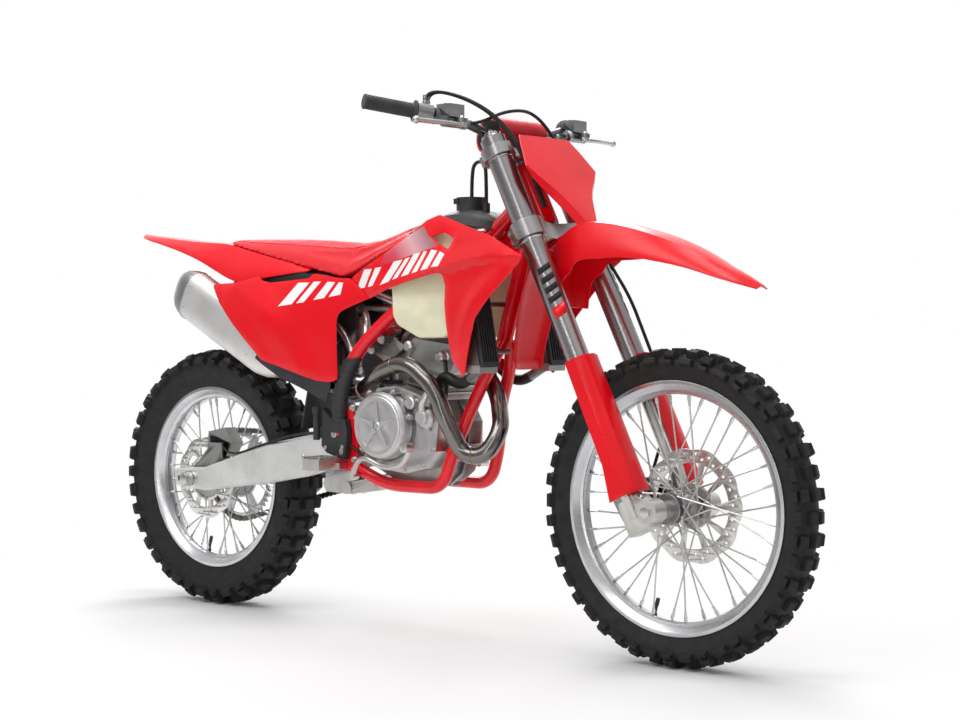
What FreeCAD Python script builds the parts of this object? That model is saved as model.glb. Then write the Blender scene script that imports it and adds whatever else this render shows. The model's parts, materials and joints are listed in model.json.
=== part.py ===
import FreeCAD
import Part
import math
import os

# Motocross bike in millimetres. Places are measured from the rear axle's ground point:
# +X forwards, +Y to the rider's left, +Z up. Every solid is moved at export so that
# the origin is the low point of the seat, where the rider holds the bike.

# Wheels and stance
WHEELBASE = 1485.0
FRONT_TYRE_R = 351.0
REAR_TYRE_R = 342.0
FRONT_TYRE_H = 70.0
REAR_TYRE_H = 99.0
FRONT_TYRE_W = 90.0
REAR_TYRE_W = 112.0
FRONT_LIP_R = FRONT_TYRE_R - FRONT_TYRE_H
REAR_LIP_R = REAR_TYRE_R - REAR_TYRE_H
FRONT_RIM_W = 54.0
REAR_RIM_W = 70.0
RIM_DEPTH = 31.0
RIM_WALL = 4.0
LUG_H = 15.0
TREAD_STEPS = 64
RING_SIDES = 36
SPOKE_R = 2.0
SPOKES = 36
RUN_GAP = 0.3
SEAT_GAP = 0.3
FLANGE_Y = 31.0
FLANGE_W = 4.0
FRONT_FLANGE_R = 36.0
REAR_FLANGE_R = 44.0
FRONT_HUB_Y = 72.0
REAR_HUB_Y = 84.0
FRONT_DISC_R = 130.0
FRONT_DISC_Y = 52.0
FRONT_DISC_W = 3.0
REAR_DISC_R = 110.0
REAR_DISC_Y = -56.0
REAR_DISC_W = 4.0
DISC_GAP = 5.0

# Steering and fork
RAKE = 26.1
LEG_AHEAD = 22.0
LEG_Y = 107.0
AXLE_AHEAD = 33.0
STEER_X = WHEELBASE - (LEG_AHEAD + AXLE_AHEAD) * math.cos(math.radians(RAKE))
STEER_Z = FRONT_TYRE_R - (LEG_AHEAD + AXLE_AHEAD) * math.sin(math.radians(RAKE))
LEG_TOP = 938.0
OUTER_LOW = 366.0
OUTER_R = 27.0
OUTER_TOP_R = 29.5
INNER_R = 24.0
LOWER_CLAMP_S = 700.0
LOWER_CLAMP_H = 42.0
UPPER_CLAMP_S = 900.0
UPPER_CLAMP_H = 26.0
CLAMP_WALL = 9.0
STEM_R = 14.0
HEAD_R = 31.0
HEAD_WALL = 6.0
HEAD_GAP = 6.0

# Axles
FRONT_AXLE_R = 11.0
FRONT_AXLE_BORE = 7.0
FRONT_AXLE_Y = 129.0
REAR_AXLE_R = 12.5
REAR_AXLE_BORE = 7.5
REAR_AXLE_Y = 134.0

# Chain drive
PITCH = 15.875
REAR_TEETH = 48
FRONT_TEETH = 13
CHAIN_Y = 69.0
TOOTH_W = 5.8
LINK_H = 14.6
CHAIN_W = 16.0
CHAIN_WEB = 2.8
ROLLER_R = 5.08
COUNTER_X = 652.0
COUNTER_Z = 428.0

# Frame
PIVOT_X = 566.0
PIVOT_Z = 440.0
PIVOT_R = 9.0
RAIL_R = 17.0
CRADLE_R = 15.0
SUBFRAME_R = 9.0
PLATE_IN = 92.0
PLATE_W = 10.0
PANEL_WALL = 3.0

# Rider's contact points
SEAT_LOW_X = 520.0
SEAT_LOW_Z = 953.0

# Where the steering axis stood, and the rear wheel's radius, when the frame was laid out
LAYOUT_STEER_X = 1435.6
LAYOUT_STEER_Z = 326.8
LAYOUT_REAR_R = 342.0

V = FreeCAD.Vector
UP = V(0, 0, 1)
LEFT = V(0, 1, 0)
NODES = {}


def node(name, *shapes):
    """Keeps the solids of one named piece."""
    solids = []
    for shape in shapes:
        solids.extend(shape.Solids)
    NODES[name] = Part.Compound(solids)


def both(shape):
    """The shape and its mirror image on the other side of the bike."""
    return [shape, shape.mirror(V(0, 0, 0), LEFT)]


def at(x, y, z):
    """Point of the frame's layout, carried along when the steering head moves."""
    share = max(0.0, (x - PIVOT_X) / (LAYOUT_STEER_X - PIVOT_X))
    return (x + share * (STEER_X - LAYOUT_STEER_X), y, z + share * (STEER_Z - LAYOUT_STEER_Z))


def at_rear(x, y, z):
    """Point of the swingarm, carried along when the rear axle's height changes."""
    share = max(0.0, 1 - x / PIVOT_X)
    return (x, y, z + share * (REAR_TYRE_R - LAYOUT_REAR_R))


def placed(points):
    return [at(x, y, z) for x, y, z in points]


def outline(points):
    """Side-view points of the frame's layout."""
    return [at(x, 0, z)[::2] for x, z in points]


def rod(start, end, radius):
    """Round bar between two points."""
    run = V(*end) - V(*start)
    return Part.makeCylinder(radius, run.Length, V(*start), run)


def disc(centre, radius, width, turn=LEFT):
    """Cylinder centred on a point, its axis along turn."""
    base = V(*centre) - turn * (width / 2)
    return Part.makeCylinder(radius, width, base, turn)


def dome(centre, radius, width, chamfer, side):
    """Round cover standing out to one side, with a chamfered outer edge."""
    base = V(*centre)
    out = LEFT * side
    body = Part.makeCylinder(radius, width - chamfer, base, out)
    edge = Part.makeCone(radius, radius - chamfer, chamfer, base + out * (width - chamfer), out)
    return body.fuse(edge)


def block(low, high):
    """Box between two corners."""
    size = [high[i] - low[i] for i in range(3)]
    return Part.makeBox(size[0], size[1], size[2], V(*low))


def side_plate(points, y_low, y_high):
    """Side-view outline of (x, z) points carried across the bike."""
    corners = [V(x, y_low, z) for x, z in points]
    face = Part.Face(Part.makePolygon(corners + corners[:1]))
    return face.extrude(V(0, y_high - y_low, 0))


def route(points):
    """Straight runs joined by tangent arcs as large as the shorter run allows."""
    points = [V(*p) for p in points]
    edges = []
    start = points[0]
    for i in range(1, len(points) - 1):
        back = points[i - 1] - points[i]
        ahead = points[i + 1] - points[i]
        turn = math.pi - back.getAngle(ahead)
        reach = 0.45 * min(back.Length, ahead.Length)
        radius = reach / math.tan(turn / 2)
        back.normalize()
        ahead.normalize()
        enter = points[i] + back * reach
        leave = points[i] + ahead * reach
        inward = back + ahead
        inward.normalize()
        middle = points[i] + inward * (radius / math.cos(turn / 2) - radius)
        edges.append(Part.makeLine(start, enter))
        edges.append(Part.Arc(enter, middle, leave).toShape())
        start = leave
    edges.append(Part.makeLine(start, points[-1]))
    return Part.Wire(edges)


def pipe(points, radius):
    """Round bar along a bent route."""
    path = route(points)
    first = V(*points[0])
    profile = Part.Wire(Part.makeCircle(radius, first, V(*points[1]) - first))
    return path.makePipeShell([profile], True, True)


def loft(sections, ruled=False):
    """Solid through closed sections, each a list of points."""
    wires = [Part.makePolygon([V(*p) for p in ring] + [V(*ring[0])]) for ring in sections]
    return Part.makeLoft(wires, True, ruled)


def halved(stations):
    """Rows of numbers with one more row halfway between each two."""
    rows = [stations[0]]
    for before, after in zip(stations, stations[1:]):
        rows.append(tuple((a + b) / 2 for a, b in zip(before, after)))
        rows.append(after)
    return rows


def quad(a, b, c, d):
    """Flat four-sided face."""
    return Part.Face(Part.makePolygon([a, b, c, d, a]))


def sew(faces):
    """Closed solid from faces that share their edges."""
    skin = Part.Compound(faces)
    skin.sewShape()
    solid = Part.Solid(skin.Shells[0])
    if solid.Volume < 0:
        solid.reverse()
    return solid


def closed_sweep(rings):
    """Solid swept round a closed line of equal rings of points, in flat faces."""
    faces = []
    count = len(rings[0])
    for i, here in enumerate(rings):
        there = rings[(i + 1) % len(rings)]
        for j in range(count):
            k = (j + 1) % count
            faces.append(quad(here[j], here[k], there[k], there[j]))
    return sew(faces)


def faceted_ring(profile, centre, sides):
    """Ring about the wheel axis: each edge of the (radius, y) profile in flat facets."""
    cx, cz = centre
    grow = 1 / math.cos(math.pi / sides)
    rings = []
    for i in range(sides):
        angle = 2 * math.pi * i / sides
        rings.append([V(cx + r * grow * math.cos(angle), y, cz + r * grow * math.sin(angle)) for r, y in profile])
    return closed_sweep(rings)


def lean(shape):
    """Leans a shape that was built upright on the steering axis."""
    turn = FreeCAD.Placement(V(STEER_X, 0, STEER_Z), FreeCAD.Rotation(LEFT, -RAKE))
    moved = shape.copy()
    moved.Placement = turn.multiply(moved.Placement)
    return moved


def fork_point(ahead, y, s):
    """Place of a point given ahead of the steering axis, across, and up along it."""
    rake = math.radians(RAKE)
    x = STEER_X + ahead * math.cos(rake) - s * math.sin(rake)
    z = STEER_Z + ahead * math.sin(rake) + s * math.cos(rake)
    return (x, y, z)


# Wheels


def tyre_profile(lip_r, rim_w, radius, width):
    """Half of the bare carcass as (radius, y) points, from the rim's well to the crown."""
    half = width / 2
    root = radius - LUG_H
    grow = 1 / math.cos(math.pi / RING_SIDES)
    well = (lip_r - RIM_DEPTH + RIM_WALL) * grow
    neck = rim_w / 2 - RIM_WALL - SEAT_GAP
    bead = [(well + SEAT_GAP, rim_w / 4 - 2 * SEAT_GAP), (lip_r * grow, neck)]
    wall = [(lip_r + 14, half * 0.74), (root - 26, half - 5)]
    tread = [(root - 8, half * 0.8), (root - 3, half * 0.6), (root, half * 0.22)]
    return bead + wall + tread


def tyre(lip_r, rim_w, radius, width, centre):
    """Knobbed tyre: rows of a middle block with side knobs between rows of paired blocks."""
    cx, cz = centre
    half_row = tyre_profile(lip_r, rim_w, radius, width)
    base = half_row + [(r, -y) for r, y in reversed(half_row)]
    count = len(base)
    middle = len(half_row) - 1
    pair = (middle - 1, middle + 1)
    flank = (middle - 3, middle + 3)
    blocks = [(middle,) + flank, pair + flank]
    rows = []
    for i in range(TREAD_STEPS):
        angle = 2 * math.pi * i / TREAD_STEPS
        rows.append((math.cos(angle), math.sin(angle)))

    def place(point, row):
        return V(cx + point[0] * row[0], point[1], cz + point[0] * row[1])

    def raised(j):
        (r1, y1), (r2, y2) = base[j], base[j + 1]
        if j in flank:
            way = 1 if y1 + y2 > 0 else -1
            low, high = (r1, y1), (r2, y2)
            if way < 0:
                low, high = high, low
            lifted = [(low[0] + LUG_H * 0.75, low[1] + way * 5.0), (high[0] + LUG_H * 0.75, high[1] + way)]
            return lifted if way > 0 else lifted[::-1]
        return [(radius - abs(y1) * 0.12, y1 * 0.94), (radius - abs(y2) * 0.12, y2 * 0.94)]

    faces = []
    for i in range(TREAD_STEPS):
        here, there = rows[i], rows[(i + 1) % TREAD_STEPS]
        lugs = blocks[(i // 2) % 2] if i % 2 == 0 else ()
        for j in range(count):
            a, b = base[j], base[(j + 1) % count]
            chain_of_points = [a] + raised(j) + [b] if j in lugs else [a, b]
            for p, q in zip(chain_of_points, chain_of_points[1:]):
                faces.append(quad(place(p, here), place(q, here), place(q, there), place(p, there)))
            if j in lugs:
                for row in (here, there):
                    faces.append(quad(*[place(p, row) for p in chain_of_points]))
    return sew(faces)


def rim(lip_r, rim_w, centre):
    """Drop-centre rim with hooked lips."""
    half = rim_w / 2
    bed = lip_r - RIM_DEPTH
    well = bed + RIM_WALL
    profile = [
        (lip_r, half), (lip_r - 9, half), (bed + 9, half * 0.62), (bed, half * 0.26),
        (bed, -half * 0.26), (bed + 9, -half * 0.62), (lip_r - 9, -half), (lip_r, -half),
        (lip_r, -half + RIM_WALL), (well, -half * 0.5), (well, half * 0.5), (lip_r, half - RIM_WALL)]
    return faceted_ring(profile, centre, RING_SIDES)


def spokes(bed_r, flange_r, centre):
    """Laced spokes: inner and outer ones lean opposite ways from each flange."""
    cx, cz = centre
    solids = []
    for i in range(SPOKES):
        end_angle = 2 * math.pi * (i + 0.5) / SPOKES
        side = 1 if i % 2 == 0 else -1
        outer = (i // 2) % 2
        start_angle = end_angle + math.radians(62) * (1 if outer else -1)
        away = FLANGE_W / 2 + SPOKE_R + 3 * SEAT_GAP
        y = side * (FLANGE_Y + (away if outer else -away))
        foot = flange_r - SPOKE_R
        start = V(cx + foot * math.cos(start_angle), y, cz + foot * math.sin(start_angle))
        head = bed_r - SEAT_GAP
        end = V(cx + head * math.cos(end_angle), side * 5.0, cz + head * math.sin(end_angle))
        run = end - start
        across = run.cross(LEFT)
        across.normalize()
        other = run.cross(across)
        other.normalize()
        corners = []
        for a, b in ((1, 0), (0, 1), (-1, 0), (0, -1)):
            corners.append(start + across * (a * SPOKE_R) + other * (b * SPOKE_R))
        solids.append(Part.Face(Part.makePolygon(corners + corners[:1])).extrude(run))
    return solids


def hub(left, right, barrel_r, bore_r, centre):
    """Hub barrel between the outlines of its two ends, bored for the axle."""
    profile = [(bore_r, left[0][1])] + left + [(barrel_r, left[-1][1] - 12), (barrel_r, right[-1][1] + 12)]
    profile = profile + right[::-1] + [(bore_r, right[0][1])]
    return faceted_ring(profile, centre, RING_SIDES // 2)


def hub_end(side, end_r, end_y, seat_r, seat_y, flange_r):
    """One end of a hub: journal, seat for a disc or sprocket, then the spoke flange."""
    inn = FLANGE_Y - FLANGE_W / 2
    out = FLANGE_Y + FLANGE_W / 2
    neck_r = flange_r - 13
    points = [(end_r, end_y), (end_r, seat_y), (seat_r, seat_y), (seat_r, seat_y - 4), (neck_r, out + 8),
              (neck_r, out), (flange_r, out), (flange_r, inn), (flange_r - 8, inn)]
    return [(r, side * y) for r, y in points]


def wave_disc(outer, inner, thick, y, centre, waves):
    """Brake disc with a wavy edge and one window under each wave."""
    cx, cz = centre
    steps = waves * 4

    def polar(r, angle):
        return (cx + r * math.cos(angle), cz + r * math.sin(angle))

    edge = []
    for i in range(steps):
        dip = 5.0 if i % 4 == 2 else 2.0 if i % 2 else 0.0
        edge.append(polar(outer - dip, 2 * math.pi * i / steps))
    eye = [polar(inner, 4 * math.pi * i / steps) for i in range(steps // 2)]
    body = side_plate(edge, y - thick / 2, y + thick / 2)
    body = body.cut(side_plate(eye, y - thick, y + thick))
    band_in = outer * 0.72
    web_in = inner + 9
    for i in range(waves):
        low = 2 * math.pi * (i + 0.16) / waves
        high = 2 * math.pi * (i + 0.84) / waves
        skew = 0.35 / waves
        window = [polar(web_in, low), polar(band_in, low + skew), polar(band_in, high + skew), polar(web_in, high)]
        body = body.cut(side_plate(window, y - thick, y + thick))
    return body


def pitch_radius(teeth):
    return PITCH / (2 * math.sin(math.pi / teeth))


def toothed_plate(teeth, centre, bore):
    """Sprocket blank: one tooth between each pair of chain rollers."""
    cx, cz = centre
    mean = pitch_radius(teeth)
    points = []
    for i in range(2 * teeth):
        angle = math.pi * i / teeth
        r = mean + 3.5 if i % 2 else mean - ROLLER_R - 0.8
        points.append((cx + r * math.cos(angle), cz + r * math.sin(angle)))
    body = side_plate(points, CHAIN_Y - TOOTH_W / 2, CHAIN_Y + TOOTH_W / 2)
    return body.cut(disc((cx, CHAIN_Y, cz), bore, 4 * TOOTH_W))


def rear_sprocket(centre):
    """Rear sprocket with large windows between six arms."""
    cx, cz = centre
    mean = pitch_radius(REAR_TEETH)
    body = toothed_plate(REAR_TEETH, centre, 46.0)
    arms = 6
    for i in range(arms):
        a = 2 * math.pi * (i + 0.15) / arms
        b = 2 * math.pi * (i + 0.85) / arms
        window = []
        for angle, r in ((a, 62.0), (a, mean - 20), ((a + b) / 2, mean - 17), (b, mean - 20), (b, 62.0)):
            window.append((cx + r * math.cos(angle), cz + r * math.sin(angle)))
        body = body.cut(side_plate(window, CHAIN_Y - TOOTH_W, CHAIN_Y + TOOTH_W))
    return body


def front_wheel():
    centre = (WHEELBASE, FRONT_TYRE_R)
    node("front_tyre", tyre(FRONT_LIP_R, FRONT_RIM_W, FRONT_TYRE_R, FRONT_TYRE_W, centre))
    node("front_rim", rim(FRONT_LIP_R, FRONT_RIM_W, centre))
    node("front_spokes", *spokes(FRONT_LIP_R - RIM_DEPTH, FRONT_FLANGE_R, centre))
    seat_y = FRONT_DISC_Y - FRONT_DISC_W / 2
    left = hub_end(1, 20.0, FRONT_HUB_Y, 50.0, seat_y, FRONT_FLANGE_R)
    right = hub_end(-1, 20.0, FRONT_HUB_Y, 34.0, 50.0, FRONT_FLANGE_R)
    node("front_hub", hub(left, right, 20.0, FRONT_AXLE_R + RUN_GAP, centre))
    node("front_disc", wave_disc(FRONT_DISC_R, 42.0, FRONT_DISC_W, FRONT_DISC_Y, centre, 10))


def rear_wheel():
    centre = (0.0, REAR_TYRE_R)
    node("rear_tyre", tyre(REAR_LIP_R, REAR_RIM_W, REAR_TYRE_R, REAR_TYRE_W, centre))
    node("rear_rim", rim(REAR_LIP_R, REAR_RIM_W, centre))
    node("rear_spokes", *spokes(REAR_LIP_R - RIM_DEPTH, REAR_FLANGE_R, centre))
    left = hub_end(1, 24.0, REAR_HUB_Y, 58.0, CHAIN_Y - TOOTH_W / 2, REAR_FLANGE_R)
    right = hub_end(-1, 24.0, REAR_HUB_Y, 60.0, -REAR_DISC_Y - REAR_DISC_W / 2, REAR_FLANGE_R)
    node("rear_hub", hub(left, right, 25.0, REAR_AXLE_R + RUN_GAP, centre))
    node("rear_disc", wave_disc(REAR_DISC_R, 52.0, REAR_DISC_W, REAR_DISC_Y, centre, 9))
    node("rear_sprocket", rear_sprocket(centre))


# Fork and front end
GUARD_WALL = 3.5
GUARD_LOW = 50.0
GUARD_TOP = 376.0
HOSE_R = 4.0
BAR_AHEAD = 6.5
BAR_S = 958.0
BAR_R = 14.0
BAR_END_R = 11.0
BAR_CLAMP_Y = 46.0
GRIP_IN = 278.0
GRIP_OUT = 384.0
GRIP_R = 16.5
FENDER_WALL = 3.0
PLATE_WALL = 3.0


def fork():
    legs = []
    lowers = []
    guards = []
    for side in (-1, 1):
        y = side * LEG_Y
        body = Part.makeCylinder(OUTER_R, LOWER_CLAMP_S - 60 - OUTER_LOW, V(LEG_AHEAD, y, OUTER_LOW))
        taper = Part.makeCone(OUTER_R, OUTER_TOP_R, 30, V(LEG_AHEAD, y, LOWER_CLAMP_S - 60))
        upper = Part.makeCylinder(OUTER_TOP_R, LEG_TOP - LOWER_CLAMP_S + 30, V(LEG_AHEAD, y, LOWER_CLAMP_S - 30))
        cap = Part.makeCylinder(OUTER_TOP_R - 6, 9, V(LEG_AHEAD, y, LEG_TOP))
        bore = Part.makeCylinder(INNER_R + SEAT_GAP, 60, V(LEG_AHEAD, y, OUTER_LOW))
        legs.append(lean(body.fuse([taper, upper, cap]).cut(bore)))
        slider = Part.makeCylinder(INNER_R, OUTER_LOW + 50, V(LEG_AHEAD, y, 0))
        foot = side_plate([(-8, -34), (52, -34), (62, -10), (60, 22), (48, 44), (-4, 44), (-8, 30)],
                          y - 21, y + 21)
        eye = disc((LEG_AHEAD + AXLE_AHEAD, y, 0), 27, 44)
        hole = disc((LEG_AHEAD + AXLE_AHEAD, y, 0), FRONT_AXLE_R, 60)
        lowers.append(lean(slider.fuse([foot, eye]).cut(hole)))
        guards.append(fork_guard(side))
    guards[1] = guards[1].fuse(hose_clip())
    node("fork_tubes", *legs)
    node("fork_lowers", *lowers)
    node("fork_guards", *[lean(guard) for guard in guards])


def fork_guard(side):
    """Guard that wraps the front and outer side of a fork leg."""
    rows = []
    for s, wide, reach in ((GUARD_LOW, 44.0, 30.0), (130.0, 40.0, 16.0), (GUARD_TOP, 38.0, 12.0)):
        half = []
        for ahead, across in ((-reach, wide), (14.0, wide), (34.0, wide * 0.55), (38.0, -10.0), (30.0, -32.0)):
            half.append((ahead, across))
        inner = [(a - GUARD_WALL * (1 if a > 20 else 0), c - GUARD_WALL if c > 0 else c + 1) for a, c in half]
        ring = half + inner[::-1]
        rows.append([(LEG_AHEAD + a, side * (LEG_Y + c), s) for a, c in ring])
    body = loft(rows, True)
    boss = Part.makeCylinder(9, 16, V(LEG_AHEAD - 4, side * (LEG_Y + INNER_R + SEAT_GAP), 100), V(0, side, 0))
    return body.fuse(boss)


CLIP_S = 344.0
CLIP_AHEAD = 40.0
CLIP_Y = 154.0


def hose_clip():
    """Lug on the left guard with an eye that the brake hose runs through."""
    lug = block((LEG_AHEAD + 6, LEG_Y + 34, CLIP_S - 8), (CLIP_AHEAD + 9, CLIP_Y + 8, CLIP_S + 8))
    eye = Part.makeCylinder(HOSE_R + SEAT_GAP, 60, V(CLIP_AHEAD, CLIP_Y, CLIP_S - 30))
    return lug.cut(eye)


def clamp_plate(s, height, leg_r, back):
    """Fork clamp: two leg rings, a bridge and the stem boss, seen along the steering axis."""
    wall = leg_r + CLAMP_WALL
    low = s - height / 2
    points = [(LEG_AHEAD + wall * 0.7, -LEG_Y), (LEG_AHEAD + 12, -50), (LEG_AHEAD + 4, 0), (LEG_AHEAD + 12, 50),
              (LEG_AHEAD + wall * 0.7, LEG_Y), (LEG_AHEAD - wall * 0.8, LEG_Y), (-back, 30), (-back, -30),
              (LEG_AHEAD - wall * 0.8, -LEG_Y)]
    wire = Part.makePolygon([V(x, y, low) for x, y in points + points[:1]])
    plate = Part.Face(wire).extrude(V(0, 0, height))
    rings = [Part.makeCylinder(wall, height, V(LEG_AHEAD, y, low)) for y in (-LEG_Y, LEG_Y)]
    ears = [block((LEG_AHEAD - wall - 8, y - 12, low), (LEG_AHEAD, y + 12, low + height))
            for y in (-LEG_Y, LEG_Y)]
    plate = plate.fuse(rings + ears)
    holes = [Part.makeCylinder(leg_r + SEAT_GAP, height, V(LEG_AHEAD, y, low)) for y in (-LEG_Y, LEG_Y)]
    slits = [block((LEG_AHEAD - wall - 10, y - 1.5, low), (LEG_AHEAD, y + 1.5, low + height))
             for y in (-LEG_Y, LEG_Y)]
    return plate.cut(Part.Compound(holes + slits))


def clamps():
    lower = clamp_plate(LOWER_CLAMP_S, LOWER_CLAMP_H, OUTER_TOP_R, 26)
    upper = clamp_plate(UPPER_CLAMP_S, UPPER_CLAMP_H, OUTER_TOP_R, 26)
    stem = Part.makeCylinder(STEM_R, UPPER_CLAMP_S - LOWER_CLAMP_S + 30, V(0, 0, LOWER_CLAMP_S - 20))
    seats = [Part.makeCylinder(HEAD_R - 2, HEAD_GAP - RUN_GAP, V(0, 0, low))
             for low in (LOWER_CLAMP_S + LOWER_CLAMP_H / 2, UPPER_CLAMP_S - UPPER_CLAMP_H / 2 - HEAD_GAP + RUN_GAP)]
    body = lower.fuse([upper, stem] + seats + bar_clamps(0.0))
    node("fork_clamps", lean(body.cut(disc((BAR_AHEAD, 0, BAR_S), BAR_R + SEAT_GAP, 200))))


def bar_clamps(gap):
    """Risers on the upper clamp with the rings that hold the bar, each grown by a gap."""
    deck = UPPER_CLAMP_S + UPPER_CLAMP_H / 2
    solids = []
    for y in (-BAR_CLAMP_Y, BAR_CLAMP_Y):
        solids.append(Part.makeCylinder(16 + gap, BAR_S - deck + 4, V(BAR_AHEAD, y, deck - 4)))
        solids.append(disc((BAR_AHEAD, y, BAR_S), BAR_R + 9 + gap, 26 + 2 * gap))
    return solids


def bar_line(side):
    """Half of the handlebar's route from the middle to the grip's end."""
    x, y, z = fork_point(BAR_AHEAD, 0, BAR_S)
    return [(x, 0, z), (x, side * 84, z), (x - 9.5, side * 186, z + 30), (x - 120, side * (GRIP_OUT - 4), z + 62)]


def handlebar():
    left = bar_line(1)
    right = bar_line(-1)[::-1]
    body = pipe(right[:-1] + left[1:], BAR_END_R)
    sleeve = disc(left[0], BAR_R, 150)
    node("handlebar", body.fuse(sleeve))
    x, y, z = left[0]
    pad = side_plate([(x + a, z + b) for a, b in BAR_PAD], -88, 88)
    pad = pad.cut([disc(left[0], BAR_R + SEAT_GAP, 152), pipe(right[:-1] + left[1:], BAR_END_R + SEAT_GAP)])
    deck = lean(block((-80, -90, 700), (80, 90, UPPER_CLAMP_S + UPPER_CLAMP_H / 2 + SEAT_GAP)))
    legs = [Part.makeCylinder(OUTER_TOP_R + 1, 300, V(LEG_AHEAD, y, LEG_TOP - 200)) for y in (-LEG_Y, LEG_Y)]
    node("bar_pad", pad.cut([lean(solid) for solid in bar_clamps(SEAT_GAP) + legs] + [deck]))


BAR_PAD = [(-50, -8), (-42, -34), (-18, -44), (4, -30), (38, 10), (30, 36), (-6, 48), (-38, 34)]


def along_grip(side, y):
    """Point on the grip's straight run at a distance across the bike."""
    inner, outer = bar_line(side)[2:]
    share = (y - abs(inner[1])) / (abs(outer[1]) - abs(inner[1]))
    return tuple(inner[i] + (outer[i] - inner[i]) * share for i in range(3))


def sleeve_on_bar(side, inner, outer, radius):
    """Round housing on the bar between two distances across the bike."""
    body = rod(along_grip(side, inner), along_grip(side, outer), radius)
    return body, rod(along_grip(side, inner - 30), along_grip(side, outer + 30), BAR_END_R + SEAT_GAP)


def bar_grips():
    solids = []
    for side in (-1, 1):
        start, end = along_grip(side, GRIP_IN), along_grip(side, GRIP_OUT)
        flange = rod(start, along_grip(side, GRIP_IN + 4), 25)
        body = rod(start, end, GRIP_R).fuse(flange)
        bore = rod(along_grip(side, GRIP_IN - 1), along_grip(side, GRIP_OUT - 4), BAR_END_R + SEAT_GAP)
        solids.append(body.cut(bore))
    node("grips", *solids)


PERCH_Y = 230.0


def controls():
    housings = []
    levers = []
    for side, inner, outer in ((-1, GRIP_IN - 33, GRIP_IN - 1), (1, GRIP_IN - 20, GRIP_IN - 1)):
        body, bore = sleeve_on_bar(side, inner, outer, 22)
        housings.append(body.cut(bore))
    for side in (-1, 1):
        body, bore = sleeve_on_bar(side, PERCH_Y - 14, PERCH_Y + 12, 17)
        x, y, z = along_grip(side, PERCH_Y)
        arm = Part.makeCylinder(11, 46, V(x, y, z), V(0.94, 0, -0.34))
        reservoir = loft([[(x + 16, y - 25, low), (x + 56, y - 25, low), (x + 56, y + 25, low), (x + 16, y + 25, low)]
                          for low in (z - 8, z + 22)], True)
        cylinder = rod((x + 44, y - 34, z - 18), (x + 44, y + 30, z - 18), 13)
        pivot_lug = Part.makeCylinder(12, 9, V(x + 70, y, z - 20))
        bridge = block((x + 44, y - 9, z - 20), (x + 70, y + 9, z - 11))
        body = body.fuse([arm, reservoir, cylinder, pivot_lug, bridge])
        housings.append(body.cut(bore))
        levers.append(lever(side, x + 70, z - 26 - SEAT_GAP))
    node("control_housings", *housings)
    node("hand_levers", *levers)


def lever(side, x, z):
    """Hand lever blade with a ball end, ahead of the grip."""
    points = [(x, side * PERCH_Y, z), (x + 6, side * (PERCH_Y + 46), z), (x - 16, side * (PERCH_Y + 136), z + 2)]
    blade = pipe(points, 5.5)
    root = Part.makeCylinder(11, 9, V(x, side * PERCH_Y, z - 3))
    return blade.fuse([root, Part.makeSphere(8.5, V(*points[-1]))])


def front_axle():
    pin = disc((WHEELBASE, 0, FRONT_TYRE_R), FRONT_AXLE_R - 0.05, 2 * FRONT_AXLE_Y)
    spacers = [disc((WHEELBASE, side * 79.0, FRONT_TYRE_R), 17, 12) for side in (-1, 1)]
    node("front_axle", pin.fuse(spacers).cut(disc((WHEELBASE, 0, FRONT_TYRE_R), FRONT_AXLE_BORE, 400)))


def front_caliper():
    """Caliper and bracket behind the left leg, straddling the disc."""
    low, high = 30.0, 84.0
    body = side_plate([(-120, 36), (-60, 30), (-34, 60), (-44, 110), (-96, 128), (-126, 92)], low, high)
    foot = LEG_AHEAD - INNER_R - SEAT_GAP
    bracket = side_plate([(-60, 36), (-9, 20), (-9, 60), (foot, 84), (-40, 96)], 72, high)
    ear = side_plate([(-40, 50), (foot, 50), (foot, 84), (-40, 84)], 72, LEG_Y)
    slot = disc((LEG_AHEAD + AXLE_AHEAD, FRONT_DISC_Y, 0), FRONT_DISC_R + DISC_GAP, 12)
    node("front_caliper", lean(body.fuse([bracket, ear]).cut(slot)))


def brake_hose():
    """Hose from the lower clamp down the left leg, through the guard's clip, to the caliper."""
    top = (LEG_AHEAD + 34, LEG_Y - 4, LOWER_CLAMP_S - LOWER_CLAMP_H / 2 - SEAT_GAP)
    route_points = [top, (LEG_AHEAD + 34, LEG_Y - 4, 610), (60, 128, 520), (44, 150, 430),
                    (CLIP_AHEAD, CLIP_Y, CLIP_S + 20), (CLIP_AHEAD, CLIP_Y, CLIP_S - 30),
                    (22, 160, 230), (-44, 158, 170), (-84, 124, 98), (-84, 84 + SEAT_GAP, 98)]
    node("front_brake_hose", pipe([fork_point(*p) for p in route_points], HOSE_R))


def trough(stations, wall):
    """Shell over the wheel. Each station: place along and up, half width, flat share, edge drop, tilt."""
    rings = []
    for x, z, half, flat, drop, tilt in stations:
        ux, uz = math.sin(math.radians(tilt)), -math.cos(math.radians(tilt))
        outer = [(half, drop), (half * 0.96, drop * 0.35), (half * flat, 0.0)]
        inner = [(half * flat, wall), (half * 0.96 - wall, drop * 0.35 + wall), (half - wall, drop)]
        line = [(-y, d) for y, d in outer] + outer[::-1] + inner[::-1] + [(-y, d) for y, d in inner]
        rings.append([(x + d * ux, y, z + d * uz) for y, d in line])
    return loft(rings)


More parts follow.
